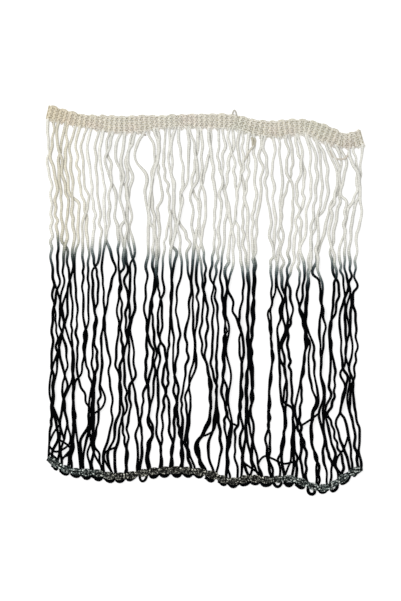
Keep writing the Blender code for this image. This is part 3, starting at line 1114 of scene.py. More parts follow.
@dataclass(frozen=True)
class HeadingStitches(HeadingPart):
    """The rows of slanting stitches that run along the heading over its ribs."""

    row_count: int = 7
    rib_stitch: ThreadLink = ThreadLink(length=3.3, width=1.1, thread=0.52, tip=0.8)
    valley_stitch: ThreadLink = ThreadLink(length=2.2, width=0.95, thread=0.48, tip=0.8)
    slant: float = 0.5
    slant_change: float = 0.25
    foot: float = 0.2
    top_room: float = 0.7
    shift: float = 0.2
    base: float = 2.1
    base_change: float = 0.1
    relief: float = 0.2
    dip: float = 0.35
    twists: float = 4.0
    # Painted shade: the stitches in the valleys between the ribs are darker than those on the ribs.
    rib_tone: float = 0.78
    valley_shade_tone: float = 0.6
    tone_spread: tuple[float, float] = (-0.25, 0.2)

    def build(self, material: bpy.types.Material, rng: random.Random) -> bpy.types.Object:
        """Build the rows, with a stitch on each rib and one in each valley.

        Args:
            material: The thread's finish.
            rng: The heading's own random numbers.

        Returns:
            The stitches.
        """
        builder = MeshBuilder("heading_stitches")
        on_rib = (self.rib_stitch.model(), self.relief, self.rib_tone)
        in_valley = (self.valley_stitch.model(), -self.relief, self.valley_shade_tone)
        for row in range(self.row_count):
            slant = self.slant if row % 2 else -self.slant
            share = (row + 0.5) / self.row_count
            for column in range(2 * self.rib_count - 1):
                form, relief, tone = in_valley if column % 2 else on_rib
                x = self.rib_place(0.5 * column)
                rise = self.foot + share * (self.height_at(x) - self.top_room)
                rise += rng.uniform(-self.shift, self.shift)
                z = self.base + relief + rng.uniform(-self.base_change, self.base_change)
                middle = self.place(x + rng.uniform(-self.shift, self.shift), rise, z)[0]
                turn = self.plan.heading.angle(x) + slant
                turn += rng.uniform(-self.slant_change, self.slant_change)
                tone += rng.uniform(*self.tone_spread)
                builder.copy(form, turn, middle, self.dip, self.twists, tone=tone)
        return builder.build(material, Slot.HEADING)


@dataclass(frozen=True)
class HeadingLowerEdge(HeadingPart):
    """The bends of thread under the ribs, and the knots where the loops leave."""

    bend_shares: tuple[float, ...] = (0.0, 0.2, 0.5, 0.8, 1.0)
    bend_height: float = 1.2
    bend_shoulder: float = 0.1
    bend_drop: tuple[float, float] = (0.2, 1.5)
    bend_change: float = 0.2
    bend_level: float = 1.1
    bend_radius: tuple[float, float] = (0.45, 0.7)
    bend_sides: int = 6
    bend_step: float = 0.7
    bend_twist: float = 1.6
    bend_tones: tuple[float, float] = (0.0, 0.6)
    knot: ThreadLink = ThreadLink(length=2.2, width=0.95, thread=0.48, tip=0.8)
    knot_rises: tuple[float, ...] = (0.9, -0.3, -1.5)
    knot_shift: float = 0.5
    knot_level: float = 2.0
    knot_turns: tuple[float, float] = (0.5, 2.6)
    knot_tones: tuple[float, float] = (0.1, 0.8)
    knot_dip: float = 0.3
    knot_twists: float = 4.0

    def build(
        self, roots: list[float], material: bpy.types.Material, rng: random.Random
    ) -> bpy.types.Object:
        """Build the edge's thread: a bend from each rib to the next, then the knots.

        Args:
            roots: X of each place where a loop leaves the heading.
            material: The thread's finish.
            rng: The heading's own random numbers.

        Returns:
            The lower edge's thread.
        """
        builder = MeshBuilder("heading_lower_edge")
        form = self.knot.model()
        for rib in range(self.rib_count - 1):
            self.add_bend(builder, self.rib_place(rib), rng)
        for root in roots:
            for rise in self.knot_rises:
                x = root + rng.uniform(-self.knot_shift, self.knot_shift)
                middle = self.place(x, rise, self.knot_level)[0]
                turn = self.plan.heading.angle(root) + rng.uniform(*self.knot_turns)
                tone = rng.uniform(*self.knot_tones)
                builder.copy(form, turn, middle, self.knot_dip, self.knot_twists, tone=tone)
        return builder.build(material, Slot.HEADING)

    def add_bend(self, builder: MeshBuilder, left: float, rng: random.Random) -> None:
        """Add one bend of thread that hangs from a rib to the next.

        Args:
            builder: The mesh that takes the thread.
            left: X of the rib that it starts at.
            rng: The heading's own random numbers.
        """
        top, shoulder, drop = self.bend_height, self.bend_shoulder, rng.uniform(*self.bend_drop)
        rise = np.array([top, shoulder, -drop, shoulder, top])
        rise = rise + rng.uniform(-self.bend_change, self.bend_change)
        x = left + np.array(self.bend_shares) * self.rib_pitch()
        path = smooth_path(self.place(x, rise, self.bend_level), self.bend_step)
        radius, tone = rng.uniform(*self.bend_radius), rng.uniform(*self.bend_tones)
        builder.tube(path, radius, self.bend_twist, sides=self.bend_sides, tone=tone)


@dataclass(frozen=True)
class LoopTracer:
    """Finds the routes of the yarn loops in the frame's own fringe.

    Attributes:
        ridge_height: Height of a solid strand's ridge where it lies on the surface.
        lift: How much higher the ridge is where a strand crosses over others.
        root_reach: How far below the heading's edge a root can lie.
    """

    plan: TrimPlan
    node: str = "fringe"
    ridge_height: float = 1.5
    lift: float = 1.8
    tolerance: float = 0.2
    root_reach: float = 4.0
    merge_reach: float = 0.001

    def routes(self) -> list[np.ndarray]:
        """Trace each loop along the ridge of its solid.

        Returns:
            The loops from left to right, each as points from one root to the
            other, or to the end of a cut leg. Z is the yarn's underside.
        """
        work = bmesh.new()
        work.from_mesh(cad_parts[self.node].data)
        bmesh.ops.remove_doubles(work, verts=work.verts, dist=self.merge_reach * MM)
        roots, free = set(), set()
        for vert in work.verts:
            x, y, z = (c / MM for c in vert.co)
            above = z - self.ridge_height
            if min(abs(above), abs(above - self.lift)) > self.tolerance:
                continue
            edge = self.plan.heading.read(x)[0] - self.plan.heading_half(x)[0]
            (roots if y > edge - self.root_reach else free).add(vert)
        done = set()
        routes = []
        for root in sorted(roots, key=lambda vert: vert.co.x):
            if root in done:
                continue
            route = self.walk(root, free, roots, done)
            if len(route) > 1:
                routes.append(np.array(route) / MM - (0.0, 0.0, self.ridge_height))
        work.free()
        return sorted(routes, key=lambda route: float(self.bottom(route)[0]))

    def walk(
        self,
        root: bmesh.types.BMVert,
        free: set[bmesh.types.BMVert],
        roots: set[bmesh.types.BMVert],
        done: set[bmesh.types.BMVert],
    ) -> list[tuple[float, ...]]:
        """Follow one yarn from a root.

        Args:
            root: The ridge point that the yarn starts from.
            free: The ridge points below the heading.
            roots: The ridge points in the heading's edge.
            done: The points that have been followed, which grows.

        Returns:
            The points on the way, in metres.
        """
        route = [tuple(root.co)]
        done.add(root)
        here = root
        while True:
            around = [edge.other_vert(here) for edge in here.link_edges]
            onward = [vert for vert in around if vert in free and vert not in done]
            if not onward:
                ends = [vert for vert in around if vert in roots and vert not in done]
                if here is not root and ends:
                    done.add(ends[0])
                    route.append(tuple(ends[0].co))
                return route
            here = onward[0]
            done.add(here)
            route.append(tuple(here.co))

    @staticmethod
    def bottom(route: np.ndarray) -> np.ndarray:
        """Middle of a route's two lowest points."""
        lowest = np.argsort(route[:, 1])[:2]
        return route[lowest].mean(axis=0)


@dataclass(frozen=True)
class Gather:
    """A place where neighbouring yarns lie gathered in a bundle.

    Attributes:
        half_height: How far up and down the yarns the bundle holds.
        reach: How far to its sides it draws yarns in.
        share: How far it draws them in, where 1 is all the way.
    """

    x: float
    y: float
    half_height: float
    reach: float
    share: float

    def shift(self, x: np.ndarray, y: np.ndarray) -> np.ndarray:
        """How far points move sideways towards the bundle.

        Args:
            x: The points' places along the trim.
            y: The points' places along the yarn.

        Returns:
            The change of X for each point.
        """
        offset = x - self.x
        height = np.clip((y - self.y) / self.half_height, -1.0, 1.0)
        hold = self.share * np.cos(0.5 * math.pi * height) ** 2
        return -hold * offset * np.exp(-((offset / self.reach) ** 2))


@dataclass(frozen=True)
class LoopFringe:
    """The long loops of chainette yarn.

    Attributes:
        rock: Angle that the flat yarn rocks by about its own middle.
        bunch_bends: Width and depth of each bend that fills the first one, as
            shares of it, and how far it lies above it.
        open_bends: X of the bends that nothing fills.
        bend_drop: How far the filled bends and the open ones hang below their route.
        zigzag_rarity: Power that makes the wider zigzags rare.
        calm: Share of a route's swing that is taken out, in cream yarn and in black.
        cling_reach: Distances between yarns that touch, that are drawn together,
            and that are parted.
        still_shares: Shares of still_room at the foot and at the roots in which
            no bundle moves the yarn.
    """

    plan: TrimPlan
    radius: float = 1.22
    flat: float = 0.85
    stitch: float = 1.5
    knit: float = 0.06
    group_count: int = 4
    breadth_change: float = 0.2
    breadth_step: float = 11.0
    breadth_spread: tuple[float, float] = (0.6, 1.6)
    dark_swell: float = -0.09
    foot_swell: float = 0.09
    foot_reach: float = 80.0
    foot_fade: float = 1.3
    rock: float = 0.6
    rock_length: tuple[float, float] = (25.0, 60.0)
    bunch_radius: float = 1.25
    bunch_points: int = 6
    bunch_bends: tuple[tuple[float, float, float], ...] = ((0.95, 0.55, 1.3), (1.35, 0.6, 1.7))
    open_bends: tuple[float, ...] = (-51.0, 63.7, 92.4, 109.0)
    open_reach: float = 4.0
    bend_drop: tuple[float, float] = (0.1, -0.7)
    drop_change: float = 0.45
    drop_wave: float = 0.55
    drop_hold: float = 1.8
    drop_points: float = 5.0
    zigzag: float = 1.25
    zigzag_step: float = 6.0
    zigzag_spread: tuple[float, float] = (0.5, 1.9)
    zigzag_rarity: float = 2.5
    ripple_loss: float = 0.04
    calm: tuple[float, float] = (0.2, 0.2)
    turn_points: int = 3
    gathers: tuple[Gather, ...] = (
        Gather(-5.6, 41.5, 38.0, 7.0, 0.75),
        Gather(-83.6, 50.0, 34.0, 6.0, 0.7),
        Gather(-65.3, 77.0, 36.0, 7.0, 0.6),
        Gather(42.6, 30.0, 45.0, 7.0, 0.7),
        Gather(63.3, 70.0, 28.0, 5.5, 0.7),
        Gather(112.0, 95.0, 24.0, 7.0, 0.6),
        Gather(-121.8, -15.0, 28.0, 7.0, 0.6),
        Gather(-106.8, -98.0, 44.0, 7.0, 0.7),
        Gather(-93.5, -98.0, 44.0, 7.0, 0.7),
        Gather(37.6, -35.0, 50.0, 6.0, 0.6),
        Gather(83.2, -22.0, 24.0, 6.0, 0.7),
        Gather(120.6, 5.0, 32.0, 6.0, 0.7),
    )
    cling_reach: tuple[float, float, float] = (0.9, 2.6, 4.1)
    cling_share: float = 0.7
    part_share: float = 0.6
    rounds: int = 3
    still_room: float = 12.0
    still_shares: tuple[float, float] = (0.5, 0.2)
    foot_room: float = 34.0
    foot_bow: float = 1.7
    bow_spread: tuple[float, float] = (-0.6, 1.0)
    root_pair: float = 1.3
    root_spread: tuple[float, float] = (0.5, 1.2)
    root_overlap: float = 1.2
    dye_scatter: float = 3.2
    dye_reach: tuple[float, float] = (19.0, 34.0)
    dye_fade: float = 20.0
    warm_middle: float = -95.0
    warm_reach: float = 40.0
    warm_least: float = 0.15
    warm_spread: tuple[float, float] = (0.1, 1.0)

    def drawn_together(self, routes: list[np.ndarray], rng: random.Random) -> list[np.ndarray]:
        """Draw the closest neighbours together and part others, as the yarns lie.

        Args:
            routes: The loops' routes, from left to right.
            rng: The pieces' own random numbers.

        Returns:
            The routes with their points moved sideways.
        """
        moved = [self.calmed(self.gathered(route)) for route in routes]
        for _ in range(self.rounds):
            moved = self.moved_once(moved)
        for route in moved:
            turn = int(np.argmin(route[:, 1]))
            for part, side in ((slice(1, turn), 1.0), (slice(turn + 1, len(route) - 1), -1.0)):
                bow = side * self.foot_bow * rng.uniform(*self.bow_spread)
                above = (route[part, 1] - self.plan.foot.read(route[part, 0])) / self.foot_room
                route[part, 0] += bow * np.sin(math.pi * np.clip(above, 0.0, 1.0))
        roots = [(float(route[0, 0]), n, 0) for n, route in enumerate(moved)]
        roots += [(float(route[-1, 0]), n, -1) for n, route in enumerate(moved) if route[-1, 1] > 0.0]
        for rank, (_, number, end) in enumerate(sorted(roots)[1:-1]):
            side = 1.0 if rank % 2 == 0 else -1.0
            moved[number][end, 0] += side * self.root_pair * rng.uniform(*self.root_spread)
        return moved

    def gathered(self, route: np.ndarray) -> np.ndarray:
        """Move a route's inner points towards the bundles that it passes.

        Args:
            route: The loop's route.

        Returns:
            The route, as before near the heading and the foot.
        """
        x, y = route[:, 0], route[:, 1]
        top = self.plan.heading.read(x) - self.plan.heading_half(x)
        still_foot, still_root = self.still_shares
        hold = np.clip((y - self.plan.foot.read(x)) / self.still_room - still_foot, 0.0, 1.0)
        hold = hold * np.clip((top - y) / self.still_room - still_root, 0.0, 1.0)
        bundled = route.copy()
        bundled[:, 0] += hold * sum(gather.shift(x, y) for gather in self.gathers)
        return bundled

    def moved_once(self, routes: list[np.ndarray]) -> list[np.ndarray]:
        """Move each inner point of the routes to or from its nearest neighbour.

        Args:
            routes: The loops' routes.

        Returns:
            The routes with their points moved sideways.
        """
        legs = []
        shortest_leg = 2
        for number, route in enumerate(routes):
            turn = int(np.argmin(route[:, 1]))
            for first, last in ((0, turn), (turn, len(route) - 1)):
                if last - first > shortest_leg:
                    leg = route[first : last + 1]
                    legs.append((number, first, last, leg[np.argsort(leg[:, 1])]))
        moved = [route.copy() for route in routes]
        near, middle, far = self.cling_reach
        for number, first, last, own in legs:
            for i in range(first + 1, last):
                x, y, _ = routes[number][i]
                if y < float(self.plan.foot.read(x)[0]) + self.still_room:
                    continue
                offsets = [
                    float(np.interp(y, leg[:, 1], leg[:, 0], left=np.inf, right=np.inf)) - x
                    for _, _, _, leg in legs
                    if leg is not own
                ]
                best = min(offsets, key=abs)
                if near < abs(best) < middle:
                    pull = 0.5 * self.cling_share * (abs(best) - near)
                    moved[number][i, 0] += math.copysign(pull, best)
                elif middle < abs(best) < far:
                    push = 0.5 * self.part_share * (far - abs(best))
                    moved[number][i, 0] -= math.copysign(push, best)
        return moved

    def below_dye(self, points: np.ndarray) -> np.ndarray:
        """How far points lie below the dye's edge: 0 at it, and 1 where the fade has ended."""
        below = self.plan.dye.read(points[:, 0]) - points[:, 1]
        return np.clip(below / self.dye_fade, 0.0, 1.0)

    def calmed(self, route: np.ndarray) -> np.ndarray:
        """Take some of the swing out of a route.

        Args:
            route: The loop's route.

        Returns:
            The route with less swing, by one share in cream yarn and another in black.
        """
        between = 0.5 * (route[:-2, 0] + route[2:, 0])
        from_turn = np.abs(np.arange(1, len(route) - 1) - int(np.argmin(route[:, 1])))
        in_cream, in_black = self.calm
        share = in_cream + (in_black - in_cream) * self.below_dye(route[1:-1])
        share = np.where(from_turn < self.turn_points, 0.0, share)
        calm = route.copy()
        calm[1:-1, 0] += share * (between - route[1:-1, 0])
        return calm

    def run(self, path: np.ndarray) -> np.ndarray:
        """Length of yarn from a path's start to each of its points."""
        return 0.5 * self.stitch * np.arange(len(path))

    @staticmethod
    def uneven_knots(
        length: float, step: float, spread: tuple[float, float], rng: random.Random
    ) -> np.ndarray:
        """Set knots along a yarn at uneven distances.

        Args:
            length: Length of the yarn.
            step: Usual distance between knots.
            spread: The least and the greatest distance, as shares of the usual one.
            rng: The pieces' own random numbers.

        Returns:
            The knots' places, from 0 to the first one past the yarn's end.
        """
        knots = [0.0]
        while knots[-1] < length:
            knots.append(knots[-1] + step * rng.uniform(*spread))
        return np.array(knots)

    def rippled(self, path: np.ndarray, rng: random.Random) -> np.ndarray:
        """Add the yarn's small zigzags to a smooth path.

        Args:
            path: The smooth path.
            rng: The pieces' own random numbers.

        Returns:
            The path with small bends to its sides.
        """
        run = self.run(path)
        knots = self.uneven_knots(run[-1], self.zigzag_step, self.zigzag_spread, rng)
        rarity = self.zigzag_rarity
        values = [(-1.0) ** n * self.zigzag * rng.random() ** rarity for n in range(len(knots))]
        values[0] = values[-1] = values[-2] = 0.0
        sway = hermite(knots, np.array(values)[:, None], run)
        ahead = np.gradient(path, axis=0)
        side = np.stack([-ahead[:, 1], ahead[:, 0], np.zeros(len(path))], axis=1)
        side /= np.linalg.norm(side, axis=1, keepdims=True)
        return path + side * sway * (1.0 - self.ripple_loss * self.below_dye(path)[:, None])

    def breadth(self, path: np.ndarray, rng: random.Random) -> np.ndarray:
        """The yarn's radius along a loop, as it shows its flat and its narrow side.

        Args:
            path: The loop's path.
            rng: The pieces' own random numbers.

        Returns:
            A radius for each point.
        """
        run = self.run(path)
        knots = self.uneven_knots(run[-1], self.breadth_step, self.breadth_spread, rng)
        values = [1.0 + self.breadth_change * rng.uniform(-1.0, 1.0) for _ in knots]
        share = hermite(knots, np.array(values)[:, None], run)[:, 0]
        above_foot = (path[:, 1] - self.plan.foot.read(path[:, 0])) / self.foot_reach
        swell = self.foot_swell * np.clip(self.foot_fade - above_foot, 0.0, 1.0)
        return self.radius * share * (1.0 + swell)

    def dye_share(self, path: np.ndarray, rng: random.Random) -> np.ndarray:
        """How far the dye has gone at each point of a loop, from 0 to 1.

        Args:
            path: The loop's path.
            rng: The pieces' own random numbers.

        Returns:
            0 where the yarn is cream and 1 where it is black.
        """
        turn = int(np.argmin(path[:, 1]))
        share = np.zeros(len(path))
        for part in (slice(0, turn), slice(turn, len(path))):
            leg = path[part]
            if len(leg) == 0:
                continue
            middle = self.plan.dye.read(float(leg[:, 0].mean()))[0]
            middle += rng.gauss(0.0, self.dye_scatter)
            reach = rng.uniform(*self.dye_reach)
            share[part] = np.clip(0.5 + (middle - leg[:, 1]) / reach, 0.0, 1.0)
        return share

    def warmth(self, path: np.ndarray, rng: random.Random) -> np.ndarray:
        """How warm the cream is at each point of a loop: most at the trim's left side.

        Args:
            path: The loop's path.
            rng: The pieces' own random numbers.

        Returns:
            The warmth, from 0 to 1.
        """
        share = 0.5 - (path[:, 0] - self.warm_middle) / self.warm_reach
        return np.clip(share, self.warm_least, 1.0) * rng.uniform(*self.warm_spread)

    def build(self, routes: list[np.ndarray], material: bpy.types.Material) -> list[np.ndarray]:
        """Build the loops in groups from left to right, a piece for each group.

        Args:
            routes: The loops' routes, from left to right.
            material: The yarn's finish.

        Returns:
            The path of each loop.
        """
        rng = random.Random(SEED)
        routes = self.drawn_together(routes, rng)
        groups = np.array_split(np.arange(len(routes)), self.group_count)
        paths = []
        for number, group in enumerate(groups):
            builder = MeshBuilder(f"loops_{number + 1}")
            for n in group:
                paths.append(self.add_loop(builder, routes[n], rng))
            piece = builder.build(material, Slot.YARN)
            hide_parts("fringe")
        return paths

    def add_loop(self, builder: MeshBuilder, route: np.ndarray, rng: random.Random) -> np.ndarray:
        """Add one loop.

        Args:
            builder: The mesh that takes the yarn.
            route: The loop's route, with Z at the yarn's underside.
            rng: The pieces' own random numbers.

        Returns:
            The path of the loop's middle.
        """
        start = route[0] + (0.0, self.root_overlap, 0.0)
        ends_at_root = route[-1, 1] > 0.0
        end = [route[-1] + (0.0, self.root_overlap, 0.0)] if ends_at_root else []
        path = smooth_path(np.vstack([start, route, *end]), 0.5 * self.stitch)
        path = self.rippled(path, rng)
        turn = int(np.argmin(path[:, 1]))
        is_open = any(abs(path[turn, 0] - x) < self.open_reach for x in self.open_bends)
        if ends_at_root:
            path[:, 1] -= self.drop(path, turn, is_open)
        dye = self.dye_share(path, rng)
        radius = self.breadth(path, rng) * (1.0 + self.dark_swell * dye)
        path[:, 2] = np.maximum(path[:, 2], 0.0) + self.flat * radius * (1.0 + self.knit)
        start_turn = rng.uniform(0.0, FULL_TURN)
        rocking = np.sin(np.arange(len(path)) / rng.uniform(*self.rock_length))
        builder.tube(
            path,
            radius,
            self.stitch,
            knit=self.knit,
            turn=start_turn + self.rock * rocking,
            flat=self.flat,
            dye=dye,
            tone=rng.random(),
            warmth=self.warmth(path, rng),
        )
        if ends_at_root and not is_open:
            self.add_bunch(builder, path[turn - self.bunch_points : turn + self.bunch_points + 1])
        return path

    def drop(self, path: np.ndarray, turn: int, is_open: bool) -> np.ndarray:
        """How far the points near a loop's bend hang below their route.

        Args:
            path: The loop's path.
            turn: The number of its lowest point.
            is_open: Whether the bend is one of the open ones.

        Returns:
            The drop of each point, which is negative where a bend is drawn up.
        """
        from_turn = np.abs(np.arange(len(path)) - turn)
        near_turn = np.clip(self.drop_hold - from_turn / self.drop_points, 0.0, 1.0)
        full_drop, open_drop = self.bend_drop
        full_drop += self.drop_change * math.sin(self.drop_wave * path[turn, 0])
        return (open_drop if is_open else full_drop) * near_turn

    def add_bunch(self, builder: MeshBuilder, bend: np.ndarray) -> None:
        """Fill a loop's bend with yarn that is bunched under the chain.

        Args:
            builder: The mesh that takes the yarn.
            bend: The lowest points of the loop's path.
        """
        middle = bend[len(bend) // 2]
        look = {"dye": 1.0, "tone": 0.5, "warmth": 0.0}
        for wide, deep, rise in self.bunch_bends:
            inside = middle + (bend - middle) * (wide, deep, 0.0) + (0.0, rise, 0.0)
            inside[:, 2] = self.flat * self.bunch_radius * (1.0 + self.knit)
            builder.tube(
                inside, self.bunch_radius, self.stitch, knit=self.knit, flat=self.flat, **look
            )


@dataclass(frozen=True)
class ChainStitch:
    """One kind of stitch in the chain: its loop of thread, its height and its painted light, a factor on
    its colour.
    """

    link: ThreadLink
    rise: float
    light: float


@dataclass(frozen=True)
class ThreadPair:
    """Two long threads, one at each side of the chain's middle."""

    link_half: float
    knot_half: float
    rise: float


@dataclass(frozen=True)
class FootChain:
    """The stitched chain over the loops: long threads, links and knots.

    Attributes:
        base: Height of the chain's underside.
        raised: How far the chain's middle lies above the foot line.
        usual_pitch: Distance between two junctions at which a link isn't stretched.
        pair_roundness: Power that rounds the long threads' way past a link.
        pair_weave: How far the long threads rise and dip from link to link.
        cool_sides: X of the places past which the grey turns cool.
    """

    plan: TrimPlan
    base: float = 1.85
    raised: float = 0.6
    usual_pitch: float = 9.33
    pairs: tuple[ThreadPair, ...] = (ThreadPair(2.85, 1.2, 0.45), ThreadPair(1.3, 0.25, 0.5))
    pair_roundness: float = 0.8
    pair_weave: float = 0.25
    thread: float = 0.4
    thread_sides: int = 6
    thread_step: float = 0.7
    thread_twist: float = 1.4
    steps: int = 10
    core_radius: float = 2.2
    core_flat: float = 0.4
    # Painted shade: the core's colour is scaled down to stand for the shade under the threads.
    core_painted_shade: float = 0.22
    core_step: float = 1.4
    # Painted light: each stitch kind's colour is scaled by its light, a painted highlight on the knots
    # and painted shade on the outer and inner links.
    outer: ChainStitch = ChainStitch(ThreadLink(5.6, 5.5, 0.75, around=20, sides=6), 0.55, 0.8)
    inner: ChainStitch = ChainStitch(ThreadLink(2.9, 2.6, 0.7, around=16, sides=6), 0.85, 0.55)
    knot: ChainStitch = ChainStitch(ThreadLink(1.9, 1.5, 0.72, around=12, sides=6), 1.15, 1.9)
    cross: ChainStitch = ChainStitch(ThreadLink(6.2, 3.5, 0.9, around=16, sides=6), 0.75, 0.95)
    inner_shift: float = 0.3
    knot_along: float = 1.15
    knot_across: float = 1.2
    cross_along: float = 2.3
    cross_slant: float = 0.34
    twists: float = 6.0
    dip: float = 0.25
    turn_change: float = 0.12
    tone_change: float = 0.15
    cool_sides: tuple[float, float] = (-86.0, 62.0)
    cool_softness: float = 4.0

    def junctions(self, routes: list[np.ndarray]) -> np.ndarray:
        """Find where the chain is drawn in, at its ends and between two loops.

        Args:
            routes: The loops' routes.

        Returns:
            X of each place, from left to right.
        """
        loops = [route for route in routes if route[-1, 1] > 0.0]
        middles = np.array([LoopTracer.bottom(route)[0] for route in loops])
        between = 0.5 * (middles[1:] + middles[:-1])
        half = self.plan.half_length
        return np.concatenate([[-half], between, [half]])

    def tone(self, x: float) -> float:
        """How cool the thread's grey is: 1 near the trim's sides and 0 between."""
        left, right = self.cool_sides
        return fade(x - left, self.cool_softness) + fade(right - x, self.cool_softness)

    def build(self, routes: list[np.ndarray], material: bpy.types.Material) -> bpy.types.Object:
        """Build the whole chain: wide links, or a close braid where the right side is cool.

        Args:
            routes: The loops' routes.
            material: The thread's finish.

        Returns:
            The chain.
        """
        rng = random.Random(SEED + 1)
        builder = MeshBuilder("foot_chain_thread")
        joints = self.junctions(routes)
        self.add_long_threads(builder, joints)
        stitches = (self.outer, self.inner, self.knot, self.cross)
        forms = {stitch: stitch.link.model() for stitch in stitches}
        for left, right in zip(joints[:-1], joints[1:]):
            centre = 0.5 * (left + right)
            wide = (right - left) / self.usual_pitch
            if centre > 0.0 and self.tone(centre) > 0.5:
                for side in (1.0, -1.0):
                    x = centre + wide * -side * self.cross_along
                    slant = side * self.cross_slant
                    self.add_copy(builder, self.cross, forms[self.cross], (x, 0.0), rng, wide, slant)
                continue
            self.add_copy(builder, self.outer, forms[self.outer], (centre, 0.0), rng, wide)
            x = centre + rng.uniform(-self.inner_shift, self.inner_shift)
            self.add_copy(builder, self.inner, forms[self.inner], (x, 0.0), rng, wide)
        for joint in joints[1:-1]:
            for across in (-self.knot_across, self.knot_across):
                for along in (-self.knot_along, self.knot_along):
                    self.add_copy(builder, self.knot, forms[self.knot], (joint + along, across), rng)
        chain = builder.build(material, Slot.CHAIN)
        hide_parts("foot_chain")
        return chain

    def add_copy(
        self,
        builder: MeshBuilder,
        stitch: ChainStitch,
        form: Form,
        spot: tuple[float, float],
        rng: random.Random,
        wide: float = 1.0,
        slant: float = 0.0,
    ) -> None:
        """Add one link or knot.

        Args:
            builder: The mesh that takes it.
            stitch: The kind of stitch.
            form: The stitch's form.
            spot: Its X, and its distance above the foot line.
            rng: The piece's own random numbers.
            wide: Its length as a share of the usual one.
            slant: Its angle to the foot line.
        """
        x, across = spot
        turn = self.plan.foot.angle(x) + slant + rng.uniform(-self.turn_change, self.turn_change)
        middle = np.append(self.plan.foot.place(x, across + self.raised)[0], self.base + stitch.rise)
        stretched = Form(form.points * (wide, 1.0, 1.0), form.faces, form.corners)
        tone = self.tone(x) + rng.uniform(-self.tone_change, self.tone_change)
        look = {"tone": min(max(tone, 0.0), 1.0), "light": stitch.light}
        builder.copy(stretched, turn, middle, self.dip, self.twists, **look)

    def add_long_threads(self, builder: MeshBuilder, joints: np.ndarray) -> None:
        """Add the threads that run the chain's whole length, and the core under them, dark with painted
        shade.

        Args:
            builder: The mesh that takes them.
            joints: X of the places where the chain is drawn in.
        """
        count = self.steps * (len(joints) - 1)
        share = np.arange(count + 1) / self.steps
        x = np.interp(share, np.arange(len(joints)), joints)
        swell = np.abs(np.sin(math.pi * share)) ** self.pair_roundness
        tone = np.array([self.tone(float(place)) for place in x])
        for side in (1.0, -1.0):
            for pair in self.pairs:
                across = side * (pair.knot_half + (pair.link_half - pair.knot_half) * swell)
                height = self.base + pair.rise + self.pair_weave * side * np.cos(math.pi * share)
                plan = self.plan.foot.place(x, across + self.raised)
                path = smooth_path(np.column_stack([plan, height]), self.thread_step)
                look = {"tone": np.interp(path[:, 0], x, tone), "light": 1.0}
                builder.tube(path, self.thread, self.thread_twist, sides=self.thread_sides, **look)
        plan = self.plan.foot.place(x, self.raised)
        path = smooth_path(np.column_stack([plan, np.full(len(plan), self.base)]), self.core_step)
        look = {"tone": np.interp(path[:, 0], x, tone), "light": self.core_painted_shade}
        builder.tube(path, self.core_radius, self.thread_twist, flat=self.core_flat, **look)


@dataclass(frozen=True)
class LooseYarn:
    """One loose end or slack loop of yarn at the heading."""

    radius: float
    hue: Hue
    points: tuple[tuple[float, float, float], ...]


@dataclass(frozen=True)
class LooseYarns:
    """The loose yarns that show at the heading's edges."""

    step: float = 0.6
    stitch: float = 1.5
    knit: float = 0.05
    floor_room: float = 1.06
    brown_warmth: float = 0.4
    yarns: tuple[LooseYarn, ...] = (
        LooseYarn(
            0.62,
            Hue.GREY,
            (
                (22.8, 152.6, 1.2),
                (23.6, 156.2, 1.6),
                (24.6, 157.4, 1.8),
                (25.7, 156.0, 1.6),
                (26.6, 151.8, 1.2),
            ),
        ),
        LooseYarn(0.8, Hue.GREY, ((-55.0, 141.0, 1.2), (-52.5, 138.2, 1.0), (-48.6, 136.6, 0.8))),
        LooseYarn(
            1.05,
            Hue.BROWN,
            ((39.0, 134.9, 1.6), (39.8, 131.5, 2.2), (39.9, 128.8, 2.2), (40.4, 126.6, 1.6)),
        ),
        LooseYarn(
            0.95,
            Hue.BROWN,
            ((41.2, 134.2, 1.6), (41.9, 131.5, 2.4), (41.3, 129.2, 2.2), (41.2, 127.4, 1.6)),
        ),
        LooseYarn(
            0.95,
            Hue.CREAM,
            (
                (41.0, 128.0, 2.4),
                (38.6, 125.4, 2.6),
                (36.4, 122.2, 2.8),
                (34.0, 117.8, 2.6),
                (31.6, 112.4, 1.6),
            ),
        ),
        LooseYarn(
            0.8,
            Hue.CREAM,
            (
                (104.6, 129.5, 1.4),
                (104.9, 122.0, 1.0),
                (107.2, 118.3, 1.0),
                (112.0, 116.6, 2.4),
                (116.8, 117.6, 2.4),
                (119.0, 121.5, 1.6),
                (119.4, 127.5, 1.4),
            ),
        ),
        LooseYarn(0.75, Hue.CREAM, ((112.2, 128.0, 1.4), (112.4, 122.0, 1.0), (112.3, 116.6, 0.9))),
    )

    def build(self, material: bpy.types.Material) -> bpy.types.Object:
        """Build all the loose yarns as one piece.

        Args:
            material: The loose yarn's finish.

        Returns:
            The loose yarns.
        """
        builder = MeshBuilder("loose_yarns")
        for yarn in self.yarns:
            path = smooth_path(np.array(yarn.points), self.step)
            path[:, 2] = np.maximum(path[:, 2], self.floor_room * yarn.radius)
            warmth = self.brown_warmth if yarn.hue is Hue.BROWN else 0.0
            look = {"tone": yarn.hue.value, "warmth": warmth}
            builder.tube(path, yarn.radius, self.stitch, knit=self.knit, **look)
        return builder.build(material, Slot.HEADING)


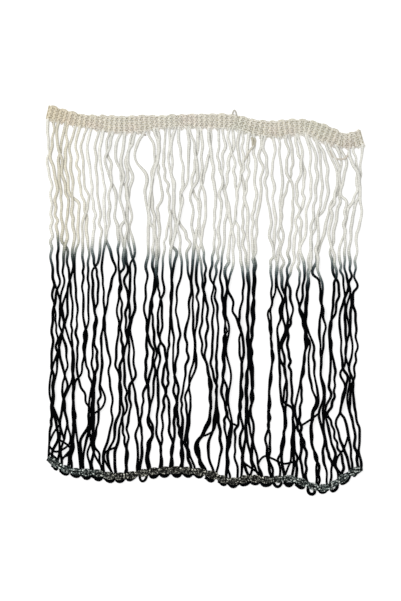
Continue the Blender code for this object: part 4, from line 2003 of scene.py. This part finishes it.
@dataclass(frozen=True)
class SlackYarns:
    """Slack bends of black yarn that lie over the others near the foot."""

    radius: float = 0.95
    flat: float = 0.85
    knit: float = 0.06
    stitch: float = 1.5
    lift: float = 2.8
    end_height: float = 1.3
    end_steepness: float = 6.0
    bends: tuple[tuple[tuple[float, float], ...], ...] = (
        ((49.5, -147.2), (44.3, -136.0), (49.5, -129.5), (56.0, -131.4), (65.3, -135.6), (70.0, -134.2)),
        ((21.3, -104.2), (23.2, -102.8), (25.1, -103.3), (27.9, -105.3)),
        (
            (9.4, -88.8),
            (9.6, -96.8),
            (7.3, -107.9),
            (1.7, -111.7),
            (-3.9, -113.7),
            (-7.6, -118.8),
            (-8.0, -124.8),
            (-3.9, -133.2),
            (0.0, -139.0),
        ),
        (
            (-71.4, -116.0),
            (-72.6, -121.0),
            (-78.3, -123.9),
            (-82.5, -126.4),
            (-83.3, -131.5),
            (-80.8, -136.6),
            (-76.6, -140.9),
        ),
        ((-84.2, -70.6), (-82.5, -81.6), (-85.1, -89.1), (-91.8, -94.3)),
        (
            (-129.9, -120.9),
            (-124.0, -125.6),
            (-117.2, -123.5),
            (-112.1, -118.9),
            (-111.3, -112.9),
            (-113.0, -106.5),
            (-117.0, -98.5),
        ),
        ((-119.8, -132.4), (-115.5, -129.4), (-110.9, -128.8)),
        ((-129.9, -117.9), (-124.8, -109.5), (-119.8, -102.8)),
        ((-129.3, -126.2), (-125.1, -129.5), (-121.4, -132.6)),
        ((-118.7, -116.2), (-114.5, -119.4), (-111.3, -122.6), (-109.6, -123.9)),
        ((-110.0, -122.2), (-112.3, -125.4), (-115.5, -128.9), (-119.3, -132.6)),
        ((-111.4, -58.9), (-108.8, -80.2), (-107.1, -102.9), (-104.6, -124.0), (-104.0, -141.0)),
        ((-93.7, -62.6), (-95.7, -84.5), (-95.7, -104.9), (-92.2, -125.7), (-84.6, -141.7)),
        ((80.3, -104.4), (86.0, -100.2), (94.4, -94.0)),
        ((32.1, -134.2), (39.0, -139.6), (46.6, -144.5)),
        ((74.8, -108.2), (71.9, -124.2), (71.1, -133.6), (69.1, -138.4), (68.5, -146.3)),
        ((117.2, -112.2), (115.0, -123.6), (110.3, -130.0), (108.7, -137.4), (112.5, -144.0)),
        (
            (-124.5, 16.0),
            (-121.8, 6.3),
            (-116.8, -16.6),
            (-120.1, -37.4),
            (-126.7, -58.1),
            (-128.4, -78.9),
            (-121.8, -97.9),
            (-115.1, -116.2),
        ),
        (
            (-115.1, 8.3),
            (-118.4, -8.3),
            (-113.5, -29.1),
            (-108.5, -45.7),
            (-110.1, -66.4),
            (-116.8, -83.0),
            (-118.4, -99.6),
        ),
        (
            (119.4, 5.0),
            (117.3, -8.0),
            (119.8, -24.8),
            (116.4, -43.5),
            (120.6, -62.3),
            (118.1, -83.0),
            (120.6, -103.8),
        ),
        (
            (16.6, 8.0),
            (15.2, -4.0),
            (20.2, -22.8),
            (17.7, -41.5),
            (21.8, -62.3),
            (19.3, -83.0),
            (22.7, -103.8),
            (20.2, -120.4),
        ),
    )

    def build(self, loops: list[np.ndarray], material: bpy.types.Material) -> bpy.types.Object:
        """Build all the slack yarns as one piece.

        Args:
            loops: The paths of the loops that the slack yarns lie over.
            material: The fringe yarn's finish.

        Returns:
            The slack yarns.
        """
        builder = MeshBuilder("slack_yarns")
        below = np.concatenate(loops)[:, :2]
        for bend in self.bends:
            plan = np.array(bend)
            plan[0], plan[-1] = self.nearest(below, plan[0]), self.nearest(below, plan[-1])
            route = np.column_stack([plan, np.full(len(plan), self.lift)])
            path = smooth_path(route, 0.5 * self.stitch)
            share = np.arange(len(path)) / (len(path) - 1)
            hold = np.clip(np.minimum(share, 1.0 - share) * self.end_steepness, 0.0, 1.0)
            path[:, 2] = self.end_height + (self.lift - self.end_height) * hold
            look = {"dye": 1.0, "tone": 0.5, "warmth": 0.0}
            builder.tube(path, self.radius, self.stitch, flat=self.flat, knit=self.knit, **look)
        return builder.build(material, Slot.YARN)

    @staticmethod
    def nearest(below: np.ndarray, end: np.ndarray) -> np.ndarray:
        """Find where a slack yarn's end comes to a loop: the plan point nearest to it."""
        return below[np.argmin(np.linalg.norm(below - end, axis=1))]


@dataclass(frozen=True)
class Studio:
    """A plain pale floor, soft light, and the camera straight above the trim."""

    view_height: float = 498.8
    aim: tuple[float, float] = (-3.5, -0.4)
    camera_height: float = 1600.0
    sensor: float = 36.0
    floor_size: float = 8000.0
    floor_drop: float = 0.2
    floor_glow: float = 0.72
    floor_shade: float = 0.35
    sky: float = 0.82
    lamp_size: float = 900.0
    lamp_place: tuple[float, float, float] = (-700.0, 600.0, 1300.0)
    lamp_watts: float = 14.0

    def floor(self) -> bpy.types.Object:
        """Lay the floor, which glows a little so that it shows as white.

        Returns:
            The floor.
        """
        bpy.ops.object.select_all(action="DESELECT")
        bpy.ops.mesh.primitive_plane_add(
            size=self.floor_size * MM, location=(0.0, 0.0, -self.floor_drop * MM)
        )
        floor = bpy.context.active_object
        floor.name = "floor"
        material = bpy.data.materials.new("pale_floor")
        material.use_nodes = True
        shader = material.node_tree.nodes["Principled BSDF"]
        shader.inputs["Base Color"].default_value = (*[self.floor_shade] * 3, 1.0)
        shader.inputs["Roughness"].default_value = 0.9
        shader.inputs["Specular IOR Level"].default_value = 0.1
        shader.inputs["Emission Color"].default_value = WHITE
        shader.inputs["Emission Strength"].default_value = self.floor_glow
        floor.data.materials.append(material)
        return floor

    def lights(self) -> None:
        """Set an even sky and one large soft lamp that points at the trim's middle."""
        world = bpy.data.worlds.new("studio")
        world.use_nodes = True
        sky = world.node_tree.nodes["Background"]
        sky.inputs["Color"].default_value = WHITE
        sky.inputs["Strength"].default_value = self.sky
        bpy.context.scene.world = world
        lamp_data = bpy.data.lights.new("soft_lamp", "AREA")
        lamp_data.shape = "DISK"
        lamp_data.size = self.lamp_size * MM
        lamp_data.energy = self.lamp_watts
        lamp = bpy.data.objects.new("soft_lamp", lamp_data)
        lamp.location = [place * MM for place in self.lamp_place]
        aim = -lamp.location.normalized()
        lamp.rotation_euler = aim.to_track_quat("-Z", "Y").to_euler()
        bpy.context.scene.collection.objects.link(lamp)

    def camera(self) -> None:
        """Hang the camera over the trim, as the photograph was taken."""
        data = bpy.data.cameras.new("camera")
        data.sensor_width = self.sensor
        data.lens = self.sensor * self.camera_height / self.view_height
        camera = bpy.data.objects.new("camera", data)
        camera.location = (self.aim[0] * MM, self.aim[1] * MM, self.camera_height * MM)
        bpy.context.scene.collection.objects.link(camera)
        bpy.context.scene.camera = camera
        bpy.context.scene.view_settings.view_transform = "Standard"


def main() -> None:
    """Dress the trim: heading, loops, chain and loose yarns, then the studio."""
    logging.basicConfig(level=logging.INFO, format="%(message)s")
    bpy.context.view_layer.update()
    rng = random.Random(SEED)
    plan = TrimPlan()
    ground = CreamKnitFinish("heading_ground", "#d6ceb8", "#d0cab4", "#d6ccbb")
    weft_yarn = CreamKnitFinish("heading_weft_yarn", "#e6e0ce", "#e2decb", "#e7decd")
    loose_yarn = CreamKnitFinish("loose_yarn", "#cdc9bd", "#c6c4b8", "#cac2b6")
    thread = CreamKnitFinish("heading_thread", "#f1ede1", "#edebde", "#f1eadf").material()
    HeadingCloth(plan).build(ground.material())
    HeadingWeft(plan).build(weft_yarn.material(), rng)
    HeadingStitches(plan).build(thread, rng)
    routes = LoopTracer(plan).routes()
    log.info("traced %d loops and legs", len(routes))
    whole_loops = [route for route in routes if route[-1, 1] > 0.0]
    roots = [float(route[end, 0]) for route in whole_loops for end in (0, -1)]
    HeadingLowerEdge(plan).build(roots, thread, rng)
    dyed = ChainetteFinish().material()
    loop_paths = LoopFringe(plan).build(routes, dyed)
    SlackYarns().build(loop_paths, dyed)
    FootChain(plan).build(routes, ChainThreadFinish().material())
    LooseYarns().build(loose_yarn.material())
    studio = Studio()
    studio.floor()
    studio.lights()
    studio.camera()


if __name__ == "__main__":
    main()
